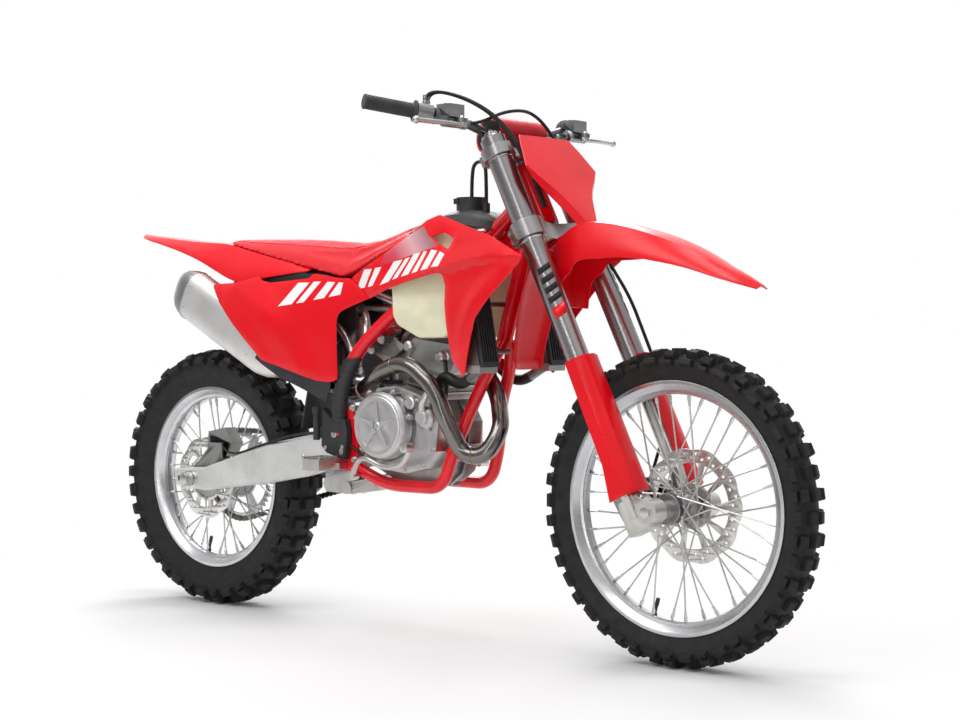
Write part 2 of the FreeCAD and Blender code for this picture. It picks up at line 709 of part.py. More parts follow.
def front_fender():
    stations = [
        (1172, 792, 52, 0.74, 26, 84), (1156, 868, 58, 0.74, 52, 68), (1180, 938, 62, 0.72, 84, 36),
        (1236, 978, 66, 0.7, 86, 8), (1320, 979, 70, 0.68, 78, 0), (1400, 963, 71, 0.66, 62, 0),
        (1472, 941, 69, 0.62, 50, -4), (1546, 911, 62, 0.58, 36, -6), (1616, 875, 50, 0.54, 22, -8),
        (1664, 852, 38, 0.5, 13, -9), (1696, 834, 24, 0.46, 5, -10)]
    flat = [fork_point(*to_fork(x, z)) for x, z, half, share, drop, tilt in stations]
    moved = [(p[0], p[2]) + station[2:] for p, station in zip(flat, stations)]
    body = trough(moved, FENDER_WALL)
    under = LOWER_CLAMP_S - LOWER_CLAMP_H / 2 - SEAT_GAP
    mount = lean(block((0, -24, under - 10), (78, 24, under)))
    web = lean(side_plate([(52, under - 10), (78, under - 10), (110, under - 4), (110, under + 4), (78, under)],
                          -24, 24))
    node("front_fender", body.fuse([mount, web]))


def to_fork(x, z):
    """Layout place in the bike's middle plane as ahead, across and up along the steering axis."""
    rake = math.radians(RAKE)
    dx, dz = x - LAYOUT_STEER_X, z - LAYOUT_STEER_Z
    return (dx * math.cos(rake) + dz * math.sin(rake), 0, dz * math.cos(rake) - dx * math.sin(rake))


def number_plate():
    """Shield with a flat middle and swept side faces, and the strut that holds it."""
    rings = []
    for s, ahead, half, face in ((675, 120, 38, 28), (749, 109, 74, 46), (789, 103, 108, 62),
                                 (824, 99, 132, 68), (916, 85, 92, 60)):
        sweep = (half - face) * 0.36
        front = [(ahead - sweep, -half), (ahead, -face), (ahead, face), (ahead - sweep, half)]
        back = [(a - PLATE_WALL, y) for a, y in reversed(front)]
        rings.append([(a, y, s) for a, y in front + back])
    shield = loft(rings, True)
    strut = block((LEG_AHEAD + 7 + SEAT_GAP, -18, UPPER_CLAMP_S - 10), (90, 18, UPPER_CLAMP_S + 6))
    node("number_plate", lean(shield.fuse(strut)))


def bar_cables():
    """Throttle cables and hoses that loop ahead of the bar and drop behind the plate."""
    front = UPPER_CLAMP_S - 60
    right = along_grip(-1, GRIP_IN - 24)
    left = along_grip(1, PERCH_Y)
    lines = []
    for step in (0, 9):
        start = (right[0] - 6, right[1] + step, right[2] + 22.6)
        lines.append([start, (start[0], start[1], start[2] + 34), (right[0] + 44, -170 + step, right[2] + 40),
                      fork_point(58, -100 + step, 966), fork_point(66, -72 + step, front),
                      fork_point(60, -70 + step, 744)])
    brake = along_grip(-1, PERCH_Y)
    lines.append([(brake[0] + 44, 30.3 - PERCH_Y, brake[2] - 18), (brake[0] + 44, -150, brake[2] - 18),
                  fork_point(72, -80, 990), fork_point(64, 40, 1000), fork_point(60, 90, 900), fork_point(56, 86, 800),
                  fork_point(51, 82, 750), fork_point(51, 82, LOWER_CLAMP_S + LOWER_CLAMP_H / 2 + SEAT_GAP)])
    lines.append([(left[0] + 44, PERCH_Y - 34.3, left[2] - 18), (left[0] + 44, 150, left[2] - 18),
                  fork_point(62, 98, 940), fork_point(62, 62, 870), fork_point(52, 56, 744)])
    node("bar_cables", *[pipe(line, HOSE_R) for line in lines])


# Frame
LINK_X = 660.0
LINK_Z = 366.0
LINK_BAR_R = 9.0
SEAT_TAIL_X = 98.0
SEAT_TAIL_Z = 966.0
SEAT_FALL = 0.208
CROWN_DROP = 1.0
TOWER_R = 10.0
GUARD_R = 20.5
SHOCK_X = 500.0
SHOCK_TOP = 800.0


def rail_line(side):
    """Upper frame rail from the head down to the swingarm pivot."""
    low = [(900, side * 60, 880), (722, side * 86, 790), (606, side * 104, 686), (553, side * 108, 590),
           (552, side * 108, 480)]
    return [fork_point(-16, side * 14, 812)] + placed(low)


def rails_room(gap):
    return [pipe(rail_line(side), RAIL_R + gap) for side in (-1, 1)]


def frame():
    head_low = LOWER_CLAMP_S + LOWER_CLAMP_H / 2 + HEAD_GAP
    head_high = UPPER_CLAMP_S - UPPER_CLAMP_H / 2 - HEAD_GAP
    head = rod(fork_point(0, 0, head_low), fork_point(0, 0, head_high), HEAD_R)
    hole = rod(fork_point(0, 0, head_low - 50), fork_point(0, 0, head_high + 50), HEAD_R - HEAD_WALL)
    rails = []
    for side in (-1, 1):
        rails.append(pipe(rail_line(side), RAIL_R))
        inner = side * PLATE_IN
        web = outline([(550, 560), (590, 540), (608, 470), (602, 408), (583, 390), (546, 394), (524, 440), (524, 520)])
        rails.append(side_plate(web, inner, inner + side * PLATE_W))
    gusset = lean(side_plate([(-26, head_low + 6), (-26, 790), (-190, 748), (-150, 684), (-70, 726)], -10, 10))
    cross = rod(at(664, -88, 738), at(664, 88, 738), 14)
    rails_body = head.fuse(rails + [gusset, cross]).cut(hole)
    rails_body = rails_body.cut(disc(at(PIVOT_X, 0, PIVOT_Z), PIVOT_R + SEAT_GAP, 400))
    node("frame_rails", rails_body)
    cradle(rails_body.fuse(rod(fork_point(0, 0, head_low), fork_point(0, 0, head_high), HEAD_R)))
    subframe()


def cradle(rails_body):
    """Downtube that splits into the two tubes under the engine, with the engine's front lugs."""
    stem = rod(fork_point(-28, 0, 764), at(985, 0, 700), RAIL_R + 2)
    tubes = []
    for side in (-1, 1):
        line = [(1000, side * 14, 716), (972, side * 42, 640), (938, side * 52, 566), (902, side * 86, 448),
                (874, side * 89, 364), (700, side * 95, 363), (592, side * 98, 404)]
        tubes.append(pipe(placed(line), CRADLE_R))
        low = outline([(904, 430), (918, 452), (902, 472), (876, 456), (876, 436)])
        tubes.append(side_plate(low, side * 31, side * 80))
        high = outline([(962, 640), (976, 664), (900, 700), (884.3, 690), (884.3, 664)])
        tubes.append(side_plate(high, side * 31, side * 44))
    tubes.append(rod(at(LINK_X, -92, LINK_Z), at(LINK_X, 92, LINK_Z), LINK_BAR_R))
    node("frame_cradle", stem.fuse(tubes).cut(rails_body))


def subframe():
    """Seat rails with their struts, and the tower that holds the top of the shock."""
    solids = []
    for side in (-1, 1):
        solids += subframe_tubes(side, 0.0)
    eye = disc((SHOCK_X, 0, SHOCK_TOP), 16, 60)
    ties = [rod(at(575, -66, 850), at(575, 66, 850), SUBFRAME_R - 1),
            rod((130, -60, rail_height(130)), (130, 60, rail_height(130)), SUBFRAME_R - 1)]
    body = solids[0].fuse(solids[1:] + [eye] + ties)
    body = body.cut(disc((SHOCK_X, 0, SHOCK_TOP), 40, 28))
    node("subframe", body.cut(rails_room(SEAT_GAP)))


def subframe_tubes(side, gap):
    """Seat rail, strut and shock stay of one side, grown by a gap."""
    top = [(722, side * 86, 806), (575, side * 66, 850), (430, side * 66, rail_height(430)),
           (110, side * 60, rail_height(110))]
    strut = [(594, side * 100, 672), (540, side * 78, 730), (330, side * 65, rail_height(330))]
    stay = [(630, side * 94, 712), (596, side * 60, 790), (SHOCK_X, side * 22, SHOCK_TOP)]
    tubes = [pipe(placed(line), SUBFRAME_R + gap) for line in (top, strut)]
    return tubes + [pipe(placed(stay), TOWER_R + gap)]


def seat_edge(x):
    """Height of the seat's underside, which the rear fender and the seat rails follow."""
    return SEAT_TAIL_Z - (x - SEAT_TAIL_X) * SEAT_FALL


def rail_height(x):
    """Height of the seat rails, under the rear fender's shell."""
    return seat_edge(x) - CROWN_DROP - PANEL_WALL - SUBFRAME_R - SEAT_GAP


# Engine
CASE_RIGHT = -74.0
CASE_LEFT = 58.0
CLUTCH_X = 717.0
CLUTCH_Z = 510.0
CLUTCH_R = 83.0
CLUTCH_OUT = -150.0
PUMP_X = 842.0
PUMP_Y = -98.0
PUMP_Z = 534.0


def engine():
    main = outline([(612, 430), (640, 398), (700, 372), (820, 370), (856, 398), (872, 440), (880, 520), (850, 572),
                    (728, 596), (650, 588), (612, 520)])
    cases = side_plate(main, -62, CASE_LEFT - 8)
    split = outline([(604, 426), (634, 390), (698, 364), (824, 362), (864, 394), (880, 440), (888, 524), (850, 572),
                     (728, 596), (644, 596), (604, 524)])
    flange = side_plate(split, -8, 0)
    rear_lug = side_plate(outline([(548, 430), (566, 414), (616, 400), (640, 440), (600, 466), (566, 466),
                                   (548, 450)]), -49, 49)
    front_lug = side_plate(outline([(862, 430), (900, 436), (908, 452), (898, 466), (866, 470)]), -30.7, 30.7)
    ribs = [side_plate(outline([(x, 360), (x + 5, 360), (x + 5, 400), (x, 400)]), -54, 46)
            for x in range(710, 830, 24)]
    body = cases.fuse([flange, rear_lug, front_lug] + ribs)
    body = body.cut(disc((COUNTER_X, 60, COUNTER_Z), 42, 30))
    shaft = rod((COUNTER_X, 20, COUNTER_Z), (COUNTER_X, CHAIN_Y + 8, COUNTER_Z), 11)
    body = body.fuse(shaft).cut(disc(at(PIVOT_X, 0, PIVOT_Z), PIVOT_R + SEAT_GAP, 400))
    node("engine_cases", body)
    covers()
    top_end()


def covers():
    """Clutch cover with its star of ribs, case cover, water pump and, on the left, the ignition cover."""
    inner = outline([(626, 470), (640, 428), (690, 404), (770, 396), (836, 410), (868, 452), (878, 540), (856, 572),
                     (800, 590), (740, 606), (676, 598), (632, 556)])
    case_cover = side_plate(inner, CASE_RIGHT - 34, -62 - SEAT_GAP)
    cx, cz = at(CLUTCH_X, 0, CLUTCH_Z)[::2]
    clutch = dome((cx, CASE_RIGHT - 34, cz), CLUTCH_R, CASE_RIGHT - 34 - CLUTCH_OUT, 8, -1)
    ribs = []
    for i in range(5):
        angle = math.radians(90 + 72 * i)
        c, s = math.cos(angle), math.sin(angle)
        wedge = []
        for along, across in ((10, -9), (22, -5), (58, -1.5), (58, 1.5), (22, 5), (10, 9)):
            wedge.append((cx + along * c - across * s, cz + along * s + across * c))
        ribs.append(side_plate(wedge, CLUTCH_OUT - 3, CLUTCH_OUT + 2))
    bosses = []
    for i in range(7):
        angle = 2 * math.pi * (i + 0.3) / 7
        spot = (cx + (CLUTCH_R + 5) * math.cos(angle), CASE_RIGHT - 44, cz + (CLUTCH_R + 5) * math.sin(angle))
        bosses.append(disc(spot, 7.5, 28))
    px, pz = at(PUMP_X, 0, PUMP_Z)[::2]
    pump = dome((px, CASE_RIGHT - 34, pz), 29, 20, 7, -1)
    nozzle = rod((px + 8, PUMP_Y, pz + 12), (px + 24, PUMP_Y, pz + 66), 11)
    right = case_cover.fuse([clutch, pump, nozzle] + ribs + bosses)
    ignition_case = side_plate(outline([(712, 440), (800, 404), (862, 440), (862, 520), (800, 556), (716, 540)]),
                               CASE_LEFT - 8 + SEAT_GAP, CASE_LEFT + 14)
    ignition = dome(at(776, CASE_LEFT + 14, 480), 58, 26, 8, 1)
    node("engine_covers", right, ignition_case.fuse(ignition))


def top_end():
    """Cylinder, head and cam cover leaning slightly forwards, with the mounts to the frame."""
    barrel = side_plate(outline([(730, 596.3), (850, 572.3), (866, 640), (746, 664)]), -56, 56)
    fins = [side_plate(outline([(726 + k * 4, 612 + k * 16), (858 + k * 4, 586 + k * 16), (859 + k * 4, 590 + k * 16),
                                (727 + k * 4, 616 + k * 16)]), -60, 60) for k in range(3)]
    head = side_plate(outline([(744, 656), (868, 632), (884, 664), (884, 690), (872, 706), (752, 720), (736, 690)]),
                      -60, 60)
    cover = loft([[at(760, -50, 716), at(866, -50, 700), at(866, 50, 700), at(760, 50, 716)],
                  [at(770, -40, 752), at(858, -40, 742), at(858, 40, 742), at(770, 40, 752)]], True)
    stub = disc(at(894, 0, 680.5), 24, 18, V(0.75, 0, -0.66))
    intake = rod(at(744, 0, 690), at(690, 0, 716), 27)
    body = barrel.fuse(fins + [head, cover, stub, intake])
    room = rails_room(SEAT_GAP) + [rod(at(664, -90, 738), at(664, 90, 738), 14 + SEAT_GAP)]
    mounts = []
    for side in (-1, 1):
        plate = side_plate(outline([(628, 684), (644, 702), (672, 726), (688, 722), (752, 690), (740, 664), (667, 660)]),
                           side * (60 + SEAT_GAP), side * (66 + SEAT_GAP))
        bosses = [disc(at(x, side * 76, z), 9, 32) for x, z in ((644, 691), (678, 716))]
        mounts.append(plate.fuse(bosses).cut(room))
    node("cylinder", body, *mounts)


# Exhaust
HEADER_R = 20.0
CAN_WIDE = 42.0
CAN_TALL = 57.0
CAN_Y = 110.0


def exhaust():
    header = [(903.2, 0, 672.4), (972, -2, 592), (1030, -60, 508), (1006, -92, 446), (948, -102, 448),
              (916, -128, 530), (888, -135, 604), (800, -138, 668), (704, -126, 640), (628, -84, 604),
              (560, -60, 580), (460, -84, 606), (372, -CAN_Y, 668)]
    tube = pipe(placed(header), HEADER_R)
    ring = disc(at(903.2, 0, 672.4), 27, 4, V(0.75, 0, -0.66))
    node("exhaust_header", tube.fuse(ring))
    rings = []
    for x, z, grow in ((-20, 841, 0.60), (-12, 837, 0.76), (8, 827, 1.0), (292, 694, 1.0), (358, 663, 0.6)):
        points = []
        for i in range(10):
            angle = 2 * math.pi * (i + 0.5) / 10
            up = CAN_TALL * grow * math.sin(angle)
            points.append((x + up * 0.42, -CAN_Y + CAN_WIDE * grow * math.cos(angle), z + up * 0.9))
        rings.append(points)
    body = loft(rings, True)
    outlet = rod((-30, -CAN_Y, 846), (40, -CAN_Y, 813), 20)
    inlet = pipe(header[-3:], HEADER_R + SEAT_GAP)
    tab = block((150, -CAN_Y - 6, 800), (176, -CAN_Y + 6, 850))
    link = rod((163, -CAN_Y, 838), (163, -64, rail_height(163) - 2), 7)
    body = body.fuse([tab, link]).cut(outlet.fuse(inlet))
    node("silencer", body.cut(subframe_tubes(-1, SEAT_GAP)))


# Cooling
COOLANT_R = 13.0
VENT_R = 4.5
RADIATOR_IN = 98.0
RADIATOR_OUT = 158.0


def cooling():
    cores = []
    guards = []
    for side in (-1, 1):
        core = side_plate(outline([(1006, 660), (1046, 660), (1012, 838), (968, 838)]),
                          side * RADIATOR_OUT, side * RADIATOR_IN)
        tank_top = side_plate(outline([(962, 838), (1016, 838), (1012, 856), (962, 856)]),
                              side * (RADIATOR_OUT + 2), side * (RADIATOR_IN - 2))
        tank_low = side_plate(outline([(1002, 642), (1048, 642), (1048, 660), (1000, 660)]),
                              side * (RADIATOR_OUT + 2), side * (RADIATOR_IN - 2))
        tab_low = rod(at(1016, side * 16, 690), at(1022, side * (RADIATOR_IN + 2), 690), 6)
        tab_top = rod(at(1000, side * 16, 800), at(990, side * (RADIATOR_IN + 2), 800), 6)
        spout = rod(at(1012, side * 120, 650), at(978, side * 112, 628), 12)
        cores.append(core.fuse([tank_top, tank_low, tab_low, tab_top, spout]))
        guards.append(slatted_guard(side))
    stem = rod(fork_point(-28, 0, 764), at(985, 0, 700), RAIL_R + 2 + SEAT_GAP)
    node("radiators", *[core.cut(stem).cut(rails_room(SEAT_GAP)) for core in cores])
    node("radiator_guards", *guards)
    right = [(978, -112, 628), (944, -104, 606), (878, PUMP_Y, 642),
             (PUMP_X + 24.2, PUMP_Y, PUMP_Z + 66.7)]
    left = [(978, 112, 628), (944, 104, 606), (868, 106, 664), (868, 60.3, 664)]
    vent = [(889, 0, CAP_TOP + SEAT_GAP), (889, 0, 1104), (898, -2, 1141), (940, -12, 1141), (946, -14, 1100),
            (946, -14, CAP_TOP - 16 + SEAT_GAP)]
    node("coolant_hoses", pipe(placed(right), COOLANT_R), pipe(placed(left), COOLANT_R),
         pipe(placed(vent), VENT_R))


def slatted_guard(side):
    """Louvred guard: a frame with six upright slats ahead of the core."""
    gap = 1.0
    face = [(1048 + gap, 656), (1056 + gap, 656), (1022 + gap, 838), (1014 + gap, 838)]
    body = side_plate(outline(face), side * RADIATOR_OUT, side * RADIATOR_IN)
    slats = 6
    width = (RADIATOR_OUT - RADIATOR_IN - 8) / slats
    for i in range(slats):
        low = RADIATOR_IN + 6 + i * width
        slot = side_plate(outline([(1040, 668), (1070, 668), (1036, 828), (1006, 828)]),
                          side * low, side * (low + width - 3))
        body = body.cut(slot)
    return body


# Bodywork
LOBE_IN = 99.0
CAP_TOP = 1057.0
SIDE_OUTLINE = [(111, 858), (202, 862), (282, 877), (297, 866), (331, 859), (457, 869), (468, 882), (557, 868),
                (600, 868), (668, 818), (606, 797), (572, 784), (563, 767), (567, 622), (544, 612), (500, 614),
                (324, 664), (127, 832)]
STRIP_OUTLINE = [(300, 668), (379, 620), (527, 561), (540, 600), (538, 700), (330, 712)]
SIDE_PLAN = [
    (540, [(90, 154), (330, 158), (440, 138), (560, 132), (700, 130)]),
    (660, [(90, 158), (330, 162), (440, 144), (560, 134), (700, 130)]),
    (760, [(90, 158), (330, 162), (440, 146), (560, 133), (700, 129)]),
    (890, [(90, 120), (330, 124), (440, 116), (560, 113), (700, 124)])]
SHROUD_OUTLINE = [(676, 820), (756, 842), (883, 868), (926, 874), (938, 842), (942, 800), (956, 725), (968, 672),
                  (1006, 632), (1057, 768), (1104, 820), (1196, 906), (1066, 958), (969, 986), (886, 1012), (846, 1000),
                  (805, 971), (726, 929), (650, 893), (607, 871)]
SHROUD_WINDOW = [(874, 960), (915, 969), (953, 953), (943, 928), (907, 942)]
SHROUD_PLAN = [
    (620, [(560, 112), (760, 134), (950, 178), (1220, 216)]),
    (820, [(560, 112), (760, 136), (950, 178), (1220, 216)]),
    (900, [(560, 112), (760, 132), (950, 160), (1220, 188)]),
    (1020, [(560, 96), (760, 108), (950, 112), (1220, 128)])]


def panel(points, plan, inset=0.0):
    """Thin moulded panel on the right: a curved sheet trimmed to its side-view outline."""
    rings = []
    for z, line in plan:
        outer = [(x, -y + inset, z) for x, y in line]
        inner = [(x, -y + inset + PANEL_WALL, z) for x, y in reversed(line)]
        rings.append(placed(outer + inner))
    return loft(rings).common(side_plate(outline(points), -300, 0))


def behind(plan):
    """Room inside a right-hand panel, up to the bike's middle plane."""
    rings = []
    for z, line in plan:
        reach = PANEL_WALL + SEAT_GAP
        rings.append(placed([(x, -y + reach, z) for x, y in line] + [(line[-1][0], 0, z), (line[0][0], 0, z)]))
    return loft(rings)


def bodywork():
    tank()
    saddle()
    shroud = panel(SHROUD_OUTLINE, SHROUD_PLAN).cut(side_plate(outline(SHROUD_WINDOW), -300, 0))
    node("shrouds", *both(shroud))
    node("side_panels", *both(panel(SIDE_OUTLINE, SIDE_PLAN)))
    node("rear_fender", rear_fender())
    airbox()


def tank():
    """Translucent tank lobes beside the head, with the bosses that hold the shrouds."""
    lobes = []
    for side in (-1, 1):
        rows = []
        for z, rear, front, out in ((722, 806, 902, 120), (762, 746, 928, 128), (850, 734, 948, 124),
                                    (930, 760, 962, 116)):
            rows.append(placed([(rear, side * LOBE_IN, z), (front, side * LOBE_IN, z),
                                (front, side * (out - 12), z), (front - 18, side * out, z),
                                (rear + 18, side * out, z), (rear, side * (out - 12), z)]))
        window = block(at(828, 84.5, 925), at(952, 99.5, 984))
        lobes.append(loft(rows).fuse(window if side > 0 else window.mirror(V(0, 0, 0), LEFT)))
    room = behind(SHROUD_PLAN)
    bosses = []
    for x, z in ((800, 870), (930, 900)):
        bosses.append(rod(at(x, -110, z), at(x, -190, z), 9).common(room))
    right = lobes[0].fuse(bosses)
    left = lobes[1].fuse([boss.mirror(V(0, 0, 0), LEFT) for boss in bosses])
    bridge = side_plate(outline([(830, 930), (950, 930), (950, 975), (830, 975)]), -LOBE_IN, LOBE_IN)
    body = right.fuse([left, bridge]).cut(rails_room(SEAT_GAP + 0.5))
    node("fuel_tank", body)


def saddle():
    """Seat, and the black cover with its cap between the seat's nose and the steering head."""
    rows = []
    for x, top, low, half_top, half_mid, half_low in (
            (756, 988, 972, 30, 58, 82), (842, 1019, 986, 34, 66, 84), (946, 1021, 986, 34, 60, 76),
            (1000, 992, 972, 26, 40, 50)):
        ring = [(-half_low, low), (-half_mid, (top + low) / 2 + 6), (-half_top, top),
                (half_top, top), (half_mid, (top + low) / 2 + 6), (half_low, low)]
        rows.append(placed([(x, y, z) for y, z in ring]))
    cap = disc(at(889, 0, CAP_TOP - 20), 37, 40, UP)
    nipple = disc(at(946, -14, CAP_TOP - 31), 9, 30, UP)
    lugs = [block(at(889 + 36 * c - 7, 36 * s - 7, CAP_TOP - 16), at(889 + 36 * c + 7, 36 * s + 7, CAP_TOP - 3))
            for c, s in ((1, 0), (-0.5, 0.87), (-0.5, -0.87))]
    cover = loft(rows).fuse([cap, nipple] + lugs).cut(rails_room(SEAT_GAP + 0.5))
    node("tank_cover", cover)
    rows = []
    for x, top, half_top, half_low in ((98, 979, 46, 62), (240, 973, 56, 84), (420, 963, 58, 99), (500, 957, 58, 103)):
        rows.append((x, top, seat_edge(x) - 2, half_top, half_low))
    rows += [(560, 954, 871, 56, 105), (604, 959, 887, 54, 102), (656, 970, 912, 50, 97), (708, 986, 936, 44, 90),
             (752, 1000, 957, 40, 82)]
    tail = [(60, seat_edge(60) + SEAT_GAP), (500, seat_edge(500) + SEAT_GAP), (500, 800), (60, 800)]
    node("seat", loft([seat_ring(*row) for row in halved(rows)]).cut(side_plate(tail, -200, 200)))


def seat_ring(x, top, low, half_top, half_low):
    mid = low + (top - low) * 0.58
    return [(x, -half_low, low), (x, -half_top - 8, mid), (x, -half_top * 0.72, top),
            (x, half_top * 0.72, top), (x, half_top + 8, mid), (x, half_low, low)]


def rear_fender():
    """Tail that carries on forwards as wings beside the seat's lower edge."""
    stations = [(-309, 1003, 15, 0.62, 4), (-270, 999, 34, 0.62, 8), (-190, 991, 54, 0.62, 14),
                (-64, 978, 78, 0.62, 24)]
    for x, half, share, drop in ((SEAT_TAIL_X, 106, 0.58, 56), (212, 122, 0.66, 72), (320, 116, 0.76, 40),
                                 (440, 108, 0.86, 9)):
        stations.append((x, seat_edge(x) - CROWN_DROP, half, share, drop))
    shell = trough([station + (0,) for station in halved(stations)], PANEL_WALL)
    above = [(96, seat_edge(96) - CROWN_DROP / 2), (460, seat_edge(460) - CROWN_DROP / 2), (460, 1100), (96, 1100)]
    shell = shell.cut(side_plate(above, -200, 200))
    return shell.cut(subframe_tubes(1, SEAT_GAP) + subframe_tubes(-1, SEAT_GAP))


def airbox():
    """Box under the seat with its side wings, the black strips under the side panels and the mud flap."""
    box = side_plate(outline([(256, 846), (540, 846), (556, 820), (556, 740), (470, 700), (300, 770)]), -56, 56)
    wings = []
    for side in (-1, 1):
        rings = []
        for x, out, low, top in ((232, 112, 842, 858), (430, 104, 830, 884), (552, 98, 820, 862)):
            rings.append([(x, side * 50, low), (x, side * out, low), (x, side * out, top), (x, side * 50, top)])
        wings.append(loft(rings, True))
    flap = side_plate([(362, 486), (367, 486), (424, 706), (418, 712)], -58, 58)
    neck = side_plate([(418, 700), (430, 700), (436, 740), (424, 740)], -58, 58)
    shock_room = side_plate([(452, 600), (556, 600), (556, 836), (452, 836)], -44, 44)
    body = box.fuse(wings + [flap, neck]).cut(shock_room)
    tie = rod(at(575, -66, 850), at(575, 66, 850), SUBFRAME_R - 1 + SEAT_GAP)
    body = body.cut(subframe_tubes(1, SEAT_GAP) + subframe_tubes(-1, SEAT_GAP) + [tie])
    strip = panel(STRIP_OUTLINE, SIDE_PLAN, PANEL_WALL + SEAT_GAP)
    stays = []
    room = behind(SIDE_PLAN)
    for x, z in ((270, 850), (500, 845)):
        stays.append(rod((x, -90, z), (x, -190, z), 7).common(room))
    body = body.fuse(stays + [stay.mirror(V(0, 0, 0), LEFT) for stay in stays])
    node("airbox", body, *both(strip))


# Rear end
ARM_OUT = PLATE_IN - 1.5
ROCKER_PIN = (428.0, 0.0, 355.0)
ROCKER_PIN_R = 6.0


def swingarm():
    arms = []
    for side in (-1, 1):
        rows = []
        for x, low, high, inner, outer in ((-56, 320, 368, 94, 118), (60, 314, 376, 94, 120),
                                           (300, 346, 448, 88, 116), (430, 370, 474, 80, 104),
                                           (510, 396, 476, 79, ARM_OUT), (588, 418, 462, 79, ARM_OUT)):
            edge = 6.0
            ring = [(inner, low), (outer - edge, low), (outer, low + edge), (outer, high - edge),
                    (outer - edge, high), (inner, high)]
            rows.append([at_rear(x, side * y, z) for y, z in ring])
        arms.append(loft(rows, True))
    bridge = side_plate([at_rear(x, 0, z)[::2] for x, z in ((384, 382), (440, 386), (440, 446), (384, 444))], -84, 84)
    bosses = [rod((PIVOT_X, side * 50, PIVOT_Z), (PIVOT_X, side * 84, PIVOT_Z), 12.5) for side in (-1, 1)]
    bolt = disc((PIVOT_X, 0, PIVOT_Z), PIVOT_R, 2 * (PLATE_IN + PLATE_W) + 16)
    fin = side_plate([at_rear(x, 0, z)[::2] for x, z in ((400, 384), (440, 388), (440, 346), (416, 344))], -14, 14)
    body = arms[0].fuse([arms[1], bridge, bolt, fin] + bosses)
    window = [at_rear(x, 0, z)[::2] for x, z in ((-46, 335), (-18, 335), (-18, 349), (-46, 349))]
    body = body.cut([side_plate(window, side * 90, side * 125) for side in (-1, 1)])
    body = body.cut(disc((0, 0, REAR_TYRE_R), REAR_AXLE_R + 0.05, 400))
    node("swingarm", body.cut(disc(ROCKER_PIN, ROCKER_PIN_R + SEAT_GAP, 60)))
    pin = disc((0, 0, REAR_TYRE_R), REAR_AXLE_R, 2 * REAR_AXLE_Y)
    nuts = [rod((0, side * 120.4, REAR_TYRE_R), (0, side * REAR_AXLE_Y, REAR_TYRE_R), 20) for side in (-1, 1)]
    node("rear_axle", pin.fuse(nuts).cut(disc((0, 0, REAR_TYRE_R), REAR_AXLE_BORE, 400)))


def rear_brake():
    """Caliper over the top of the disc on a carrier that hangs on the axle."""
    lift = REAR_TYRE_R - LAYOUT_REAR_R
    body = side_plate([(30, 416 + lift), (104, 404 + lift), (128, 440 + lift), (96, 480 + lift), (34, 468 + lift)],
                      -80, -40)
    carrier = side_plate([(-22, 330 + lift), (20, 318 + lift), (96, 380 + lift), (100, 420 + lift), (40, 420 + lift),
                          (-16, 364 + lift)], -REAR_HUB_Y - 8.5, -REAR_HUB_Y - 0.5)
    arm = side_plate([(50, 396 + lift), (100, 396 + lift), (100, 440 + lift), (50, 440 + lift)], -REAR_HUB_Y - 8.5, -70)
    slot = disc((0, REAR_DISC_Y, REAR_TYRE_R), REAR_DISC_R + DISC_GAP, 12)
    axle = disc((0, 0, REAR_TYRE_R), REAR_AXLE_R + SEAT_GAP, 400)
    node("rear_caliper", body.fuse([carrier, arm]).cut(slot).cut(axle))


def shock_and_link():
    top = (SHOCK_X, 0, SHOCK_TOP)
    foot = (474, 0, 400)
    body = rod((496, 0, 770), (490, 0, 640), 30)
    collar = rod((490, 0, 640), (489.5, 0, 628), 33)
    coil = rod((489.5, 0, 628), (484, 0, 480), 31)
    plate = rod((484, 0, 480), (483.5, 0, 470), 33)
    shaft = rod((483.5, 0, 470), foot, 10)
    eyes = [disc(top, 15, 27.4), disc(foot, 14, 28)]
    neck = rod((496, 0, 770), top, 13)
    body = body.fuse([collar, coil, plate, shaft, neck] + eyes)
    node("shock", body.cut(disc(foot, 6 + SEAT_GAP, 60)))
    rocker = side_plate([(408, 344), (420, 326), (516, 324), (530, 342), (500, 400), (484, 418), (462, 418),
                         (446, 372), (412, 360)], -24, 24)
    rocker = rocker.cut(block((380, -14.3, 300), (540, 14.3, 440)))
    pins = [disc(spot, r, 48) for spot, r in ((ROCKER_PIN, ROCKER_PIN_R), (foot, 6), ((512, 0, 342), 16))]
    pull = side_plate([(498, 334), (516, 326), (672, 350), (676, 376), (652, 382), (508, 354)], -40, 40)
    pull = pull.cut(block((480, -24.3, 300), (700, 24.3, 440)))
    pull = pull.cut(disc(at(LINK_X, 0, LINK_Z), LINK_BAR_R + SEAT_GAP, 90))
    ends = [disc((512, side * 39, 342), 16, 14) for side in (-1, 1)]
    node("linkage", rocker.fuse(pins), pull.fuse(ends))


def foot_parts():
    pegs = []
    for side in (-1, 1):
        arm_in = PLATE_IN + PLATE_W + SEAT_GAP
        tread = side_plate([(508, 396), (564, 396), (564, 424), (508, 424)], side * 128, side * 195)
        holes = [block_between((518, side * (136 + 20 * k), 380), (554, side * (150 + 20 * k), 440)) for k in range(3)]
        arm = side_plate([(548, 396), (572, 396), (572, 412), (548, 412)], side * arm_in, side * 132)
        pegs.append(tread.fuse(arm).cut(holes))
    node("footpegs", *pegs)
    pedal = pipe([(612, -128, 384), (660, -148, 438), (737, -146, 408), (806, -158, 420), (832, -160, 456)], 7)
    pad = disc((832, -170, 464), 12, 26)
    pedal_eye = rod((612, -CRADLE_R - 98.3, 384), (612, -134, 384), 12)
    shift = pipe([(708, 96, 396), (744, 118, 396), (810, 124, 408)], 6)
    shaft = rod((708, 50.3, 396), (708, 102, 396), 8)
    tip = disc((810, 134, 408), 8, 32)
    node("foot_levers", pedal.fuse([pad, pedal_eye]), shift.fuse([shaft, tip]))
    frame_guards()


